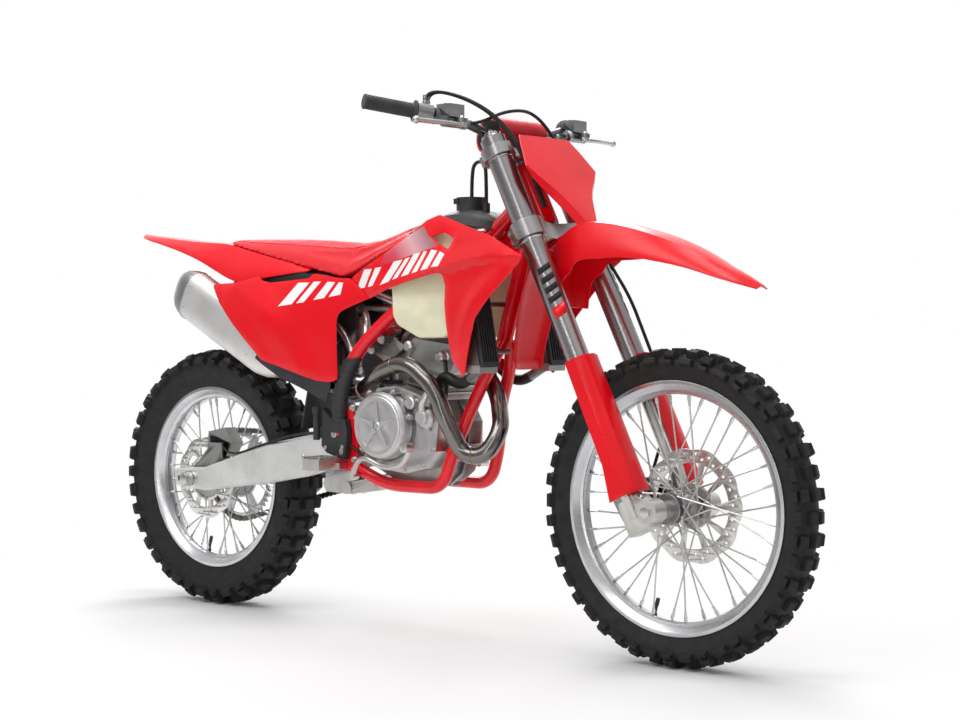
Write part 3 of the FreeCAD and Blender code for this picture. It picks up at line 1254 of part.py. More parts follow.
def block_between(a, b):
    """Box between two corners given in any order."""
    return block([min(a[i], b[i]) for i in range(3)], [max(a[i], b[i]) for i in range(3)])


def frame_guards():
    """Textured sleeves on the rails' lower runs, with the plates that cover the pivots."""
    solids = []
    for side in (-1, 1):
        sleeve = pipe(rail_line(side)[2:], GUARD_R)
        keep = block_between((500, side * (PLATE_IN + PLATE_W + SEAT_GAP), 486), (660, side * 150, 670))
        shield = side_plate([(504, 546), (534, 520), (582, 520), (589, 489), (584, 436), (575, 420), (517, 436),
                             (501, 452)], side * (PLATE_IN + PLATE_W + SEAT_GAP), side * 122)
        shield = shield.cut(disc((PIVOT_X, side * 116, PIVOT_Z), PIVOT_R + SEAT_GAP, 40))
        solids.append(sleeve.common(keep).fuse(shield).cut(rails_room(SEAT_GAP)))
    cylinder = [rod((486, -124, 466), (486, -124, 548), 8.5), disc((486, -124, 540), 11, 14, UP),
                side_plate([(484, 470), (508, 470), (508, 500), (484, 500)], -122, -114)]
    solids[0] = solids[0].fuse(cylinder)
    node("frame_guards", *solids)


def chain_stations():
    """Places on the pitch line round both sprockets, each with its outward direction."""
    big, small = pitch_radius(REAR_TEETH), pitch_radius(FRONT_TEETH)
    drop = COUNTER_Z - REAR_TYRE_R
    heading = math.atan2(drop, COUNTER_X)
    spread = math.acos((big - small) / math.hypot(COUNTER_X, drop))
    stations = []
    for cx, cz, r, start, end, steps in (
            (COUNTER_X, COUNTER_Z, small, heading + spread, heading - spread, 8),
            (0.0, REAR_TYRE_R, big, heading - spread, heading + spread - 2 * math.pi, 20)):
        for i in range(steps + 1):
            angle = start + (end - start) * i / steps
            stations.append((cx, cz, r, angle))
    return stations


def chain():
    """Closed run of chain: plates outside the teeth, joined over their tips, and the front sprocket in it."""
    half, slot = CHAIN_W / 2, (TOOTH_W + 3.0) / 2
    out, inn, roof = LINK_H / 2, -LINK_H / 2, LINK_H / 2 - CHAIN_WEB
    section = [(out, -half), (out, half), (inn, half), (inn, slot), (roof, slot), (roof, -slot), (inn, -slot),
               (inn, -half)]
    rings = []
    for cx, cz, r, angle in chain_stations():
        c, s = math.cos(angle), math.sin(angle)
        rings.append([V(cx + (r + d) * c, CHAIN_Y + y, cz + (r + d) * s) for d, y in section])
    front = toothed_plate(FRONT_TEETH, (COUNTER_X, COUNTER_Z), 11 + SEAT_GAP)
    node("chain", closed_sweep(rings), front)


def export():
    os.makedirs("parts", exist_ok=True)
    shift = V(-SEAT_LOW_X, 0, -SEAT_LOW_Z)
    for name, shape in NODES.items():
        moved = shape.copy()
        moved.translate(shift)
        moved.exportStep(os.path.join("parts", name + ".step"))
        print(name, len(moved.Solids), round(moved.Volume / 1000, 1), moved.isValid())
    print("cords: hose", HOSE_R, "vent", VENT_R, "coolant", COOLANT_R)


front_wheel()
rear_wheel()
fork()
clamps()
handlebar()
bar_grips()
controls()
bar_cables()
front_axle()
front_caliper()
brake_hose()
front_fender()
number_plate()
frame()
engine()
exhaust()
cooling()
bodywork()
swingarm()
rear_brake()
shock_and_link()
foot_parts()
chain()
export()
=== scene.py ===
import bmesh
import bpy
import json
import math
import numpy as np
from mathutils import Matrix, Vector
from mathutils.bvhtree import BVHTree
from mathutils.geometry import delaunay_2d_cdt


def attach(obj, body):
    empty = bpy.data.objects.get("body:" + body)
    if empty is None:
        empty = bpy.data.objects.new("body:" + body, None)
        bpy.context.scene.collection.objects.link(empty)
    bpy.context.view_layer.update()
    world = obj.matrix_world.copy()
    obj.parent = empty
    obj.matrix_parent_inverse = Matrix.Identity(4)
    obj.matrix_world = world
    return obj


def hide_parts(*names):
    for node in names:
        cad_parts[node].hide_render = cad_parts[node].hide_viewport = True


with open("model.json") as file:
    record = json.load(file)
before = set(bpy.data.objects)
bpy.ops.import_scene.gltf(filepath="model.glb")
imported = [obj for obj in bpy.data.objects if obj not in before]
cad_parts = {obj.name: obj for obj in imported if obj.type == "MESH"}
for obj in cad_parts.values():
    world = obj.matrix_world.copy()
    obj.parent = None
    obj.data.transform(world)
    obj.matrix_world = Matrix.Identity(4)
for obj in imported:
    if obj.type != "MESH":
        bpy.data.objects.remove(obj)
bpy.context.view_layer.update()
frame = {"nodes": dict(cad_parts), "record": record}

bl_info = {
    "name": "Motocross bike dressing",
    "version": (1, 0, 0),
    "blender": (4, 5, 0),
    "location": "3D View > Sidebar > Bike",
    "description": "Builds the tyres, wheels, bodywork, engine details and studio of a motocross bike",
    "category": "Object",
}

# The record's frame has its origin at the seat's low point; the layout's points are measured
# in millimetres from the rear axle's ground point, +X forwards, +Y to the rider's left.
SEAT_LOW = np.array([520.0, 0.0, 953.0])
MM = 0.001
WHEELBASE = 1485.0
RAKE = math.radians(26.1)
FORK_OFFSET = 55.0
FRONT_R = 351.0
REAR_R = 342.0
STEER_X = WHEELBASE - FORK_OFFSET * math.cos(RAKE)
STEER_Z = FRONT_R - FORK_OFFSET * math.sin(RAKE)
X, Y, Z = np.eye(3)
FORK_UP = np.array([-math.sin(RAKE), 0.0, math.cos(RAKE)])
PANEL_WALL = 3.0
LEG_AHEAD = 22
LEG_Y = 107
BODY_OF = {node: body for body, nodes in frame["record"]["behaviour"]["bodies"].items() for node in nodes}


def lay(points):
    """Layout millimetres to the record's metres, as whole arrays."""
    return (np.asarray(points, float) - SEAT_LOW) * MM


def fork_point(ahead, y, s):
    """Layout place of a point ahead of the steering axis, across, and up along it."""
    c, n = math.cos(RAKE), math.sin(RAKE)
    return (STEER_X + ahead * c - s * n, y, STEER_Z + ahead * n + s * c)


def linear(code):
    """sRGB hex colour as linear RGBA: each channel over 255, then the sRGB curve undone."""
    rgb = [int(code[i:i + 2], 16) / 255 for i in (1, 3, 5)]
    return tuple(c / 12.92 if c <= 0.04045 else ((c + 0.055) / 1.055) ** 2.4 for c in rgb) + (1.0,)


# Meshes


def finish_piece(name, obj, body, finish, stands_for=()):
    """Gives a new object its finish, body and record slot."""
    obj.name = name
    if finish:
        obj.data.materials.clear()
        obj.data.materials.append(materials()[finish])
    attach(obj, body)
    if stands_for:
        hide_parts(*stands_for)
    return obj


def link_mesh(name, mesh, smooth):
    """Puts a mesh into the scene, smooth where neighbours meet within the angle."""
    mesh.shade_smooth()
    mesh.set_sharp_from_angle(angle=math.radians(smooth))
    obj = bpy.data.objects.new(name, mesh)
    bpy.context.scene.collection.objects.link(obj)
    return obj


def add_object(name, verts, faces, smooth=40.0):
    """Object from arrays of points and faces."""
    mesh = bpy.data.meshes.new(name)
    mesh.from_pydata(np.asarray(verts, float).tolist(), [], [tuple(int(i) for i in f) for f in faces])
    mesh.validate()
    return link_mesh(name, mesh, smooth)


def surface(name, parts, body, finish, stands_for=(), smooth=30.0):
    """One closed piece from (points, faces) parts in layout millimetres, its faces turned outwards."""
    verts, faces = join(parts)
    obj = outwards(add_object(name, lay(verts), faces, smooth))
    return finish_piece(name, obj, body, finish, stands_for)


def named(base, side):
    """Name of the piece on one side of the bike, where +1 is left."""
    return base + ("_left" if side > 0 else "_right")


def places(mesh):
    """Points of a mesh as one array."""
    co = np.empty(len(mesh.vertices) * 3)
    mesh.vertices.foreach_get("co", co)
    return co.reshape(-1, 3)


def put(mesh, points):
    """Moves the points of a mesh."""
    mesh.vertices.foreach_set("co", np.asarray(points, float).ravel())


def face_along(obj, axis):
    """Turns an open sheet over where its faces point against the axis on the whole."""
    if sum(p.normal[axis] for p in obj.data.polygons) < 0:
        obj.data.flip_normals()


def thicken(obj, wall, offset=-1.0):
    """Gives a sheet its wall in millimetres, inwards unless another offset is given."""
    shell = obj.modifiers.new("wall", "SOLIDIFY")
    shell.thickness = wall * MM
    shell.offset = offset


def roll_edges(obj, width, angle, segments=2):
    """Rounds the edges that turn by more than the angle."""
    edge = obj.modifiers.new("edges", "BEVEL")
    edge.width = width * MM
    edge.segments = segments
    edge.limit_method = "ANGLE"
    edge.angle_limit = math.radians(angle)
    edge.harden_normals = True


def grid_faces(rows, cols, wrap_rows, wrap_cols, start=0):
    """Quads of a grid of points numbered row by row, closed on itself where it wraps."""
    i = np.arange(rows if wrap_rows else rows - 1)
    j = np.arange(cols if wrap_cols else cols - 1)
    i, j = [a.ravel() for a in np.meshgrid(i, j, indexing="ij")]
    k, m = (i + 1) % rows, (j + 1) % cols
    return np.stack([i * cols + j, k * cols + j, k * cols + m, i * cols + m], 1) + start


def skin(points, wrap_rows=False, wrap_cols=False, caps=False):
    """Points and faces of a surface given as a (rows, cols, 3) grid, its end rows closed by caps."""
    points = np.asarray(points, float)
    rows, cols = points.shape[:2]
    faces = [tuple(f) for f in grid_faces(rows, cols, wrap_rows, wrap_cols)]
    if caps:
        faces.append(tuple(range(cols)))
        faces.append(tuple(reversed(range((rows - 1) * cols, rows * cols))))
    return points.reshape(-1, 3), faces


def join(parts):
    """One list of points and faces from several."""
    verts, faces, start = [], [], 0
    for points, quads in parts:
        verts.append(np.asarray(points, float).reshape(-1, 3))
        faces.extend([tuple(int(i) + start for i in f) for f in quads])
        start += len(verts[-1])
    return np.concatenate(verts), faces


def outwards(obj):
    """Turns every face of a closed mesh to point out."""
    bm = bmesh.new()
    bm.from_mesh(obj.data)
    bmesh.ops.recalc_face_normals(bm, faces=bm.faces)
    bm.to_mesh(obj.data)
    bm.free()
    return obj


def turned(profile, centre, axis, sides):
    """Surface of revolution: each (radius, along) of the profile goes round the axis in equal steps."""
    profile = np.asarray(profile, float)
    axis = np.asarray(axis, float) / np.linalg.norm(axis)
    other = np.array([1.0, 0, 0]) if abs(axis[0]) < 0.9 else np.array([0, 0, 1.0])
    u = np.cross(axis, other)
    u /= np.linalg.norm(u)
    w = np.cross(axis, u)
    angle = np.arange(sides) * 2 * math.pi / sides
    around = np.cos(angle)[:, None] * u + np.sin(angle)[:, None] * w
    return np.asarray(centre, float) + profile[:, None, 1:2] * axis + profile[:, None, 0:1] * around[None]


def tube_points(path, radius, sides):
    """Round tube: a circle carried along a path, its frame turned as little as the path allows."""
    path = np.asarray(path, float)
    radius = np.broadcast_to(radius, len(path))
    run = np.gradient(path, axis=0)
    run /= np.linalg.norm(run, axis=1)[:, None]
    side = np.cross(run[0], [0, 0, 1.0] if abs(run[0][2]) < 0.9 else [0, 1.0, 0])
    sides_u = []
    for t in run:
        side = side - t * side.dot(t)
        side = side / np.linalg.norm(side)
        sides_u.append(side)
    u = np.array(sides_u)
    w = np.cross(run, u)
    angle = np.arange(sides) * 2 * math.pi / sides
    ring = np.cos(angle)[None, :, None] * u[:, None] + np.sin(angle)[None, :, None] * w[:, None]
    return path[:, None] + ring * radius[:, None, None]


def nurbs(curve, points):
    """Adds a smooth open spline that begins and ends at its outer control points."""
    spline = curve.splines.new("NURBS")
    spline.points.add(len(points) - 1)
    for point, place in zip(spline.points, points):
        point.co = (*place, 1.0)
    spline.order_u = 3
    spline.use_endpoint_u = True
    return spline


def spline_line(points):
    """Points read from the smooth line of a NURBS curve through layout control points."""
    curve = bpy.data.curves.new("line", "CURVE")
    curve.dimensions = "3D"
    curve.resolution_u = 10
    nurbs(curve, points)
    obj = bpy.data.objects.new("line", curve)
    mesh = bpy.data.meshes.new_from_object(obj)
    line = places(mesh)
    bpy.data.objects.remove(obj)
    bpy.data.meshes.remove(mesh)
    bpy.data.curves.remove(curve)
    return line


def block_points(centre, along, across, up, size, chamfer=0.0, taper=1.0):
    """Block with a chamfered top: lower ring, upper ring and the smaller ring of the top face."""
    c, a, b, n = [np.asarray(v, float) for v in (centre, along, across, up)]
    la, lb, lh = size
    corners = np.array([(-1, -1), (1, -1), (1, 1), (-1, 1)], float)
    rings = []
    for share, height, inset in ((1.0, 0.0, 0.0), (taper, lh - chamfer, 0.0), (taper, lh, chamfer)):
        ua = (la / 2 * share - inset) * corners[:, :1]
        ub = (lb / 2 * share - inset) * corners[:, 1:]
        rings.append(c + ua * a + ub * b + n * height)
    faces = [(3, 2, 1, 0)] + [tuple(f) for f in grid_faces(3, 4, False, True)] + [(8, 9, 10, 11)]
    return np.concatenate(rings), faces


def plate(name, loops, low, high, bevel=0.4, smooth=35.0):
    """Flat plate in the side view: the first loop is its outline and the others are its holes, filled as a
    two-dimensional curve, raised to its thickness and given rounded edges."""
    curve = bpy.data.curves.new(name, "CURVE")
    curve.dimensions = "2D"
    curve.fill_mode = "BOTH"
    curve.extrude = (high - low) / 2 - bevel
    curve.bevel_depth = bevel
    curve.bevel_resolution = 1
    curve.offset = -bevel
    for loop in loops:
        spline = curve.splines.new("POLY")
        spline.points.add(len(loop) - 1)
        spline.use_cyclic_u = True
        flat = np.zeros((len(loop), 4))
        flat[:, :2] = loop
        flat[:, 3] = 1
        spline.points.foreach_set("co", flat.ravel())
    obj = bpy.data.objects.new(name, curve)
    mesh = bpy.data.meshes.new_from_object(obj)
    bpy.data.objects.remove(obj)
    bpy.data.curves.remove(curve)
    co = places(mesh)
    put(mesh, lay(np.stack([co[:, 0], (low + high) / 2 + co[:, 2], co[:, 1]], 1)))
    bm = bmesh.new()
    bm.from_mesh(mesh)
    bmesh.ops.remove_doubles(bm, verts=bm.verts, dist=1e-6)
    bmesh.ops.recalc_face_normals(bm, faces=bm.faces)
    bm.to_mesh(mesh)
    bm.free()
    return link_mesh(name, mesh, smooth)


def polar(centre, radius, angle):
    """Side-view points at a radius and angles round a centre."""
    return np.stack([centre[0] + radius * np.cos(angle), centre[1] + radius * np.sin(angle)], 1)


def ring_loop(centre, radius, count):
    """Circle of points in the side view."""
    return polar(centre, radius, np.arange(count) * 2 * math.pi / count)


DRESS_ANGLE = 32.0


def dress(node, finish, bevel, flatten):
    """Stands a smooth copy in for a CAD node: doubles merged, flat neighbours joined, edges rounded."""
    mesh = frame["nodes"][node].data.copy()
    bm = bmesh.new()
    bm.from_mesh(mesh)
    bmesh.ops.remove_doubles(bm, verts=bm.verts, dist=2e-6)
    if flatten:
        bmesh.ops.dissolve_limit(bm, angle_limit=math.radians(0.4), verts=bm.verts, edges=bm.edges)
    bm.to_mesh(mesh)
    bm.free()
    obj = link_mesh(node + "_finished", mesh, DRESS_ANGLE)
    finish_piece(obj.name, obj, BODY_OF[node], finish, (node,))
    if bevel:
        roll_edges(obj, bevel, DRESS_ANGLE)
    else:
        obj.modifiers.new("normals", "WEIGHTED_NORMAL").keep_sharp = True


# Materials
HAIRLINE = 0.0009
HAIRLINE_DEPTH = 0.00012


def add(tree, kind, inputs=None, **settings):
    """Adds a node with its settings; inputs are values, or outputs to link from."""
    node = tree.nodes.new(kind)
    for key, value in settings.items():
        setattr(node, key, value)
    for key, value in (inputs or {}).items():
        if isinstance(value, bpy.types.NodeSocket):
            tree.links.new(value, node.inputs[key])
        else:
            node.inputs[key].default_value = value
    return node


def start(name, **values):
    """Material with a Principled shader whose constant values sit on its own sockets."""
    material = bpy.data.materials.new(name)
    material.use_nodes = True
    tree = material.node_tree
    tree.nodes.clear()
    shader = add(tree, "ShaderNodeBsdfPrincipled")
    out = add(tree, "ShaderNodeOutputMaterial")
    tree.links.new(shader.outputs["BSDF"], out.inputs["Surface"])
    for key, value in values.items():
        shader.inputs[key.replace("_", " ")].default_value = value
    coords = add(tree, "ShaderNodeTexCoord").outputs["Object"]
    return material, tree, shader, coords


def vary(tree, shader, coords, light, dark, size):
    """Colour that drifts between two tones over patches of the given size in metres."""
    noise = add(tree, "ShaderNodeTexNoise", {"Vector": coords, "Scale": 1 / size, "Detail": 3.0})
    ramp = add(tree, "ShaderNodeMapRange", {"Value": noise.outputs["Fac"], "From Min": 0.35,
                                            "From Max": 0.65})
    mix = add(tree, "ShaderNodeMix", {"Factor": ramp.outputs["Result"], "A": linear(light),
                                      "B": linear(dark)}, data_type="RGBA")
    tree.links.new(mix.outputs["Result"], shader.inputs["Base Color"])
    return mix


def rough_between(tree, shader, coords, smooth, rough, size):
    """Roughness that wanders between two values, as handling and cleaning leave it."""
    noise = add(tree, "ShaderNodeTexNoise", {"Vector": coords, "Scale": 1 / size, "Detail": 4.0})
    ramp = add(tree, "ShaderNodeMapRange", {"Value": noise.outputs["Fac"], "From Min": 0.3, "From Max": 0.7,
                                            "To Min": smooth, "To Max": rough})
    tree.links.new(ramp.outputs["Result"], shader.inputs["Roughness"])


def bump(tree, shader, height, strength, depth, before=None):
    """Bump of a height in metres, laid over an earlier one where it is given."""
    inputs = {"Height": height, "Strength": strength, "Distance": depth}
    if before is not None:
        inputs["Normal"] = before
    node = add(tree, "ShaderNodeBump", inputs)
    tree.links.new(node.outputs["Normal"], shader.inputs["Normal"])
    return node.outputs["Normal"]


def grain(tree, shader, coords, size, strength, depth):
    """Fine random relief with grains of the given size in metres."""
    noise = add(tree, "ShaderNodeTexNoise", {"Vector": coords, "Scale": 1 / size, "Detail": 2.0})
    return bump(tree, shader, noise.outputs["Fac"], strength, depth)


def colour_along(tree, shader, share, first, last, between):
    """Base colour that runs from the first colour to the last through those given at their shares."""
    ramp = add(tree, "ShaderNodeValToRGB", {"Fac": share.outputs["Result"]})
    stops = ramp.color_ramp.elements
    stops[0].color, stops[1].color = linear(first), linear(last)
    for position, code in between:
        stops.new(position).color = linear(code)
    tree.links.new(ramp.outputs["Color"], shader.inputs["Base Color"])


def worn_edges(tree, colour_socket, wear_code, width, amount):
    """Lighter colour where the surface turns sharply, as rubbed edges have."""
    geometry = add(tree, "ShaderNodeNewGeometry")
    ramp = add(tree, "ShaderNodeMapRange", {"Value": geometry.outputs["Pointiness"], "From Min": 0.5 + width,
                                            "From Max": 0.5 + 2 * width, "To Max": amount})
    mix = add(tree, "ShaderNodeMix", {"Factor": ramp.outputs["Result"], "A": colour_socket,
                                      "B": linear(wear_code)},
              data_type="RGBA")
    return mix.outputs["Result"]


def red_polypropylene():
    """Injection-moulded polypropylene, IOR 1.49: an even satin gloss whose sheen and tone wander slowly."""
    material, tree, shader, coords = start("red_moulded_polypropylene", Roughness=0.3, IOR=1.49,
                                           Specular_IOR_Level=0.38)
    vary(tree, shader, coords, "#E80018", "#DE0014", 0.12)
    rough_between(tree, shader, coords, 0.26, 0.34, 0.12)
    return material


def black_polypropylene():
    """Unpainted black polypropylene with a spark-eroded grain about 0.8 mm wide, drawn at 1.2 mm to show."""
    material, tree, shader, coords = start("black_grained_polypropylene", Roughness=0.5, IOR=1.49)
    vary(tree, shader, coords, "#2C2C2F", "#232326", 0.05)
    rough_between(tree, shader, coords, 0.42, 0.58, 0.03)
    grain(tree, shader, coords, 0.0012, 0.25, 0.0002)
    return material


def powder_coat():
    """Steel tube under red powder coat, IOR 1.5: a wavy gloss skin with a ripple about 3 mm across."""
    material, tree, shader, coords = start("powder_coated_steel_red", Roughness=0.28, IOR=1.5,
                                           Coat_Weight=0.5,
                                           Coat_Roughness=0.1, Specular_IOR_Level=0.35)
    vary(tree, shader, coords, "#EC001C", "#DE0018", 0.06)
    grain(tree, shader, coords, 0.003, 0.04, 0.0001)
    return material


def cast_aluminium(name, light, dark, rough):
    """Die-cast aluminium, blasted: dull, with pores of about 1 mm and a slow cloudiness."""
    material, tree, shader, coords = start(name, Metallic=1.0, Roughness=rough)
    tone = vary(tree, shader, coords, light, dark, 0.04)
    tree.links.new(worn_edges(tree, tone.outputs["Result"], "#D8D8D4", 0.03, 0.5),
                   shader.inputs["Base Color"])
    rough_between(tree, shader, coords, rough - 0.06, rough + 0.08, 0.02)
    grain(tree, shader, coords, 0.0011, 0.3, 0.0002)
    return material


def drawn_metal(name, light, dark, rough):
    """Drawn and anodised tube: an even satin skin whose sheen wanders a little, without visible lines."""
    material, tree, shader, coords = start(name, Metallic=1.0, Roughness=rough)
    vary(tree, shader, coords, light, dark, 0.3)
    return material


def brushed_metal(name, light, dark, rough, stretch):
    """Rolled or brushed metal: hairlines stretched along one direction, about a millimetre apart to show."""
    material, tree, shader, coords = start(name, Metallic=1.0, Roughness=rough)
    vary(tree, shader, coords, light, dark, 0.07)
    mapping = add(tree, "ShaderNodeMapping", {"Vector": coords, "Scale": stretch})
    lines = add(tree, "ShaderNodeTexNoise", {"Vector": mapping.outputs["Vector"], "Scale": 1 / HAIRLINE,
                                             "Detail": 2.0})
    ramp = add(tree, "ShaderNodeMapRange", {"Value": lines.outputs["Fac"], "From Min": 0.3, "From Max": 0.7,
                                            "To Min": rough - 0.07, "To Max": rough + 0.09})
    tree.links.new(ramp.outputs["Result"], shader.inputs["Roughness"])
    bump(tree, shader, lines.outputs["Fac"], 0.18, HAIRLINE_DEPTH)
    return material


def heat_tinted_stainless():
    """Polished stainless header: straw, then bronze and a trace of blue over the first bends, from heat."""
    material, tree, shader, coords = start("heat_tinted_stainless_steel", Metallic=1.0, Roughness=0.2)
    place = add(tree, "ShaderNodeSeparateXYZ", {"Vector": coords})
    noise = add(tree, "ShaderNodeTexNoise", {"Vector": coords, "Scale": 14.0, "Detail": 3.0})
    blotch = add(tree, "ShaderNodeMath", {0: noise.outputs["Fac"], 1: 0.12, 2: -0.06},
                 operation="MULTIPLY_ADD")
    along = add(tree, "ShaderNodeMath", {0: place.outputs["X"], 1: blotch.outputs[0]}, operation="ADD")
    share = add(tree, "ShaderNodeMapRange", {"Value": along.outputs[0], "From Min": -0.12, "From Max": 0.55})
    colour_along(tree, shader, share, "#5D5752", "#7C7977",
                 ((0.25, "#6C6560"), (0.5, "#797672"), (0.72, "#77726D"), (0.86, "#7F7C79")))
    rough_between(tree, shader, coords, 0.14, 0.28, 0.03)
    grain(tree, shader, coords, 0.002, 0.06, 0.0002)
    return material


def natural_polyethylene():
    """Rotation-moulded natural polyethylene, IOR 1.51: milky cream, light passes a few millimetres in."""
    material, tree, shader, coords = start("natural_polyethylene", Roughness=0.38, IOR=1.51,
                                           Subsurface_Weight=0.6,
                                           Subsurface_Scale=0.012)
    vary(tree, shader, coords, "#E9E6CB", "#DDDABB", 0.06)
    grain(tree, shader, coords, 0.004, 0.1, 0.0004)
    return material


def vinyl_cover(name, light, dark):
    """Stretched vinyl, IOR 1.5: a soft half-matt skin with a leather grain drawn 1.6 mm wide to show."""
    material, tree, shader, coords = start(name, Roughness=0.52, IOR=1.5, Sheen_Weight=0.15,
                                           Sheen_Roughness=0.4)
    vary(tree, shader, coords, light, dark, 0.08)
    rough_between(tree, shader, coords, 0.46, 0.6, 0.03)
    grain(tree, shader, coords, 0.0016, 0.2, 0.0003)
    return material


def two_tone_vinyl():
    """Seat cover of two sewn vinyls: smooth dark red sides, and a paler top with a grip of raised dots
    4 mm apart. The piece's top_share passes one half at the seam."""
    material, tree, shader, coords = start("two_tone_seat_vinyl", Roughness=0.5, IOR=1.5)
    share = add(tree, "ShaderNodeAttribute", attribute_name="top_share").outputs["Fac"]
    top = add(tree, "ShaderNodeMapRange", {"Value": share, "From Min": 0.49,
                                           "From Max": 0.51}).outputs["Result"]
    cloud = add(tree, "ShaderNodeTexNoise", {"Vector": coords, "Scale": 9.0, "Detail": 3.0}).outputs["Fac"]
    sides = add(tree, "ShaderNodeMix", {"Factor": cloud, "A": linear("#DC001C"), "B": linear("#CF0018")},
                data_type="RGBA")
    upper = add(tree, "ShaderNodeMix", {"Factor": cloud, "A": linear("#DE1630"), "B": linear("#D4102A")},
                data_type="RGBA")
    both = add(tree, "ShaderNodeMix", {"Factor": top, "A": sides.outputs["Result"],
                                       "B": upper.outputs["Result"]},
               data_type="RGBA")
    tree.links.new(both.outputs["Result"], shader.inputs["Base Color"])
    rough = add(tree, "ShaderNodeMapRange", {"Value": top, "To Min": 0.44, "To Max": 0.62})
    tree.links.new(rough.outputs["Result"], shader.inputs["Roughness"])
    leather = grain(tree, shader, coords, 0.0016, 0.15, 0.0003)
    dots = add(tree, "ShaderNodeTexVoronoi", {"Vector": coords, "Scale": 250.0, "Randomness": 0.0})
    raised = add(tree, "ShaderNodeMath", {0: dots.outputs["Distance"], 1: top}, operation="MULTIPLY")
    bump(tree, shader, raised.outputs[0], 0.4, 0.0006, leather)
    return material


def painted_highlight_and_shade():
    """Printed vinyl film over the shroud's top rear: red that fades to a pale rose and then to a dark
    rose."""
    material, tree, shader, coords = start("painted_highlight_and_shade_film", Roughness=0.33, IOR=1.5)
    place = add(tree, "ShaderNodeSeparateXYZ", {"Vector": coords})
    drop = add(tree, "ShaderNodeMath", {0: place.outputs["Z"], 1: 0.9, 2: place.outputs["X"]},
               operation="MULTIPLY_ADD")
    # The ramp runs mostly from the rear of the shroud forwards: red, then the painted highlight, then the
    # painted shade.
    share = add(tree, "ShaderNodeMapRange", {"Value": drop.outputs[0], "From Min": 0.12, "From Max": 0.42})
    colour_along(tree, shader, share, "#D0001B", "#4A2026", ((0.3, "#CF4A5C"), (0.55, "#D9A5AB"),
                                                             (0.78, "#9C6A70")))
    grain(tree, shader, coords, 0.006, 0.04, 0.0003)
    return material


def rubber(name, light, dark, rough, size):
    """Black rubber, IOR 1.52: soft and dull, with a faint bloom and moulding grain."""
    material, tree, shader, coords = start(name, Roughness=rough, IOR=1.52, Specular_IOR_Level=0.4)
    vary(tree, shader, coords, light, dark, 0.03)
    rough_between(tree, shader, coords, rough - 0.1, rough + 0.08, 0.02)
    grain(tree, shader, coords, size, 0.3, 0.0003)
    return material


def film(name, code, rough=0.35):
    """Printed vinyl film, laid on: flat colour under a satin coat, faintly wavy from the panel below."""
    material, tree, shader, coords = start(name, Roughness=rough, IOR=1.5)
    vary(tree, shader, coords, code, code, 0.05)
    grain(tree, shader, coords, 0.006, 0.04, 0.0003)
    return material


MATERIALS = {}


def materials():
    """Every finish of the bike, made once."""
    if MATERIALS:
        return MATERIALS
    flat = (1.0, 1.0, 1.0)
    MATERIALS.update({
        "red": red_polypropylene(),
        "black": black_polypropylene(),
        "paint": powder_coat(),
        "cast": cast_aluminium("die_cast_aluminium", "#8F8D8C", "#757372", 0.42),
        "cover": cast_aluminium("blasted_aluminium_cover", "#CECCCD", "#BCBABB", 0.38),
        "swingarm": brushed_metal("brushed_aluminium_extrusion", "#F0F0EE", "#E0E0DF", 0.3, (0.08, 1.0, 1.0)),
        "can": brushed_metal("bead_blasted_aluminium_can", "#E6E4E2", "#DAD8D6", 0.5, (0.3, 1.0, 1.0)),
        "can_cap": brushed_metal("pressed_steel_cap", "#B5B4B5", "#A6A5A6", 0.34, (1.0, 1.0, 1.0)),
        "tube": drawn_metal("anodised_fork_tube", "#A7A3A4", "#9A9697", 0.27),
        "polished": drawn_metal("polished_aluminium", "#CFCDCE", "#C2C0C1", 0.16),
        "weld": drawn_metal("straw_tinted_weld", "#8F8160", "#7C6E50", 0.35),
        "rim": brushed_metal("anodised_rim_extrusion", "#D2D3D5", "#C2C3C6", 0.26, flat),
        "machined": brushed_metal("machined_billet_aluminium", "#B6B4B5", "#A4A2A3", 0.3, (1.0, 0.1, 1.0)),
        "steel": brushed_metal("zinc_plated_steel", "#D0CECA", "#BEBCB8", 0.3, flat),
        "disc": brushed_metal("ground_stainless_disc", "#E0DEDB", "#CECCC9", 0.24, (1.0, 1.0, 1.0)),
        "dark": brushed_metal("oiled_chain_steel", "#7B7671", "#5B5753", 0.36, flat),
        "header": heat_tinted_stainless(),
        "bar": brushed_metal("grey_anodised_handlebar", "#6E6D6D", "#5D5C5D", 0.36, (0.1, 1.0, 1.0)),
        "bracket": cast_aluminium("grey_anodised_casting", "#5F626A", "#4E5158", 0.36),
        "caliper": cast_aluminium("black_anodised_casting", "#2B2A2B", "#1E1D1E", 0.42),
        "spring": film("silver_enamel_spring", "#B9BABC", 0.3),
        "tank": natural_polyethylene(),
        "seat": two_tone_vinyl(),
        # painted highlight and shade of the shrouds' upper rear, not a real print
        "fade": painted_highlight_and_shade(),
        "pad": vinyl_cover("vinyl_bar_pad", "#D80020", "#CC001C"),
        "foam": rubber("closed_cell_foam", "#1D1C1D", "#161516", 0.75, 0.002),
        "grip": rubber("nitrile_grip_rubber", "#3A3A3C", "#303032", 0.62, 0.0012),
        "hose": rubber("braided_hose_rubber", "#161617", "#0E0E0F", 0.5, 0.001),
        "tyre": rubber("knobbed_tyre_rubber", "#1C1B1B", "#131313", 0.7, 0.0015),
        "white": film("white_vinyl_film", "#EFECEC"),
        "core": cast_aluminium("radiator_core_aluminium", "#7C7C7B", "#636362", 0.45),
    })
    return MATERIALS


# Wheels

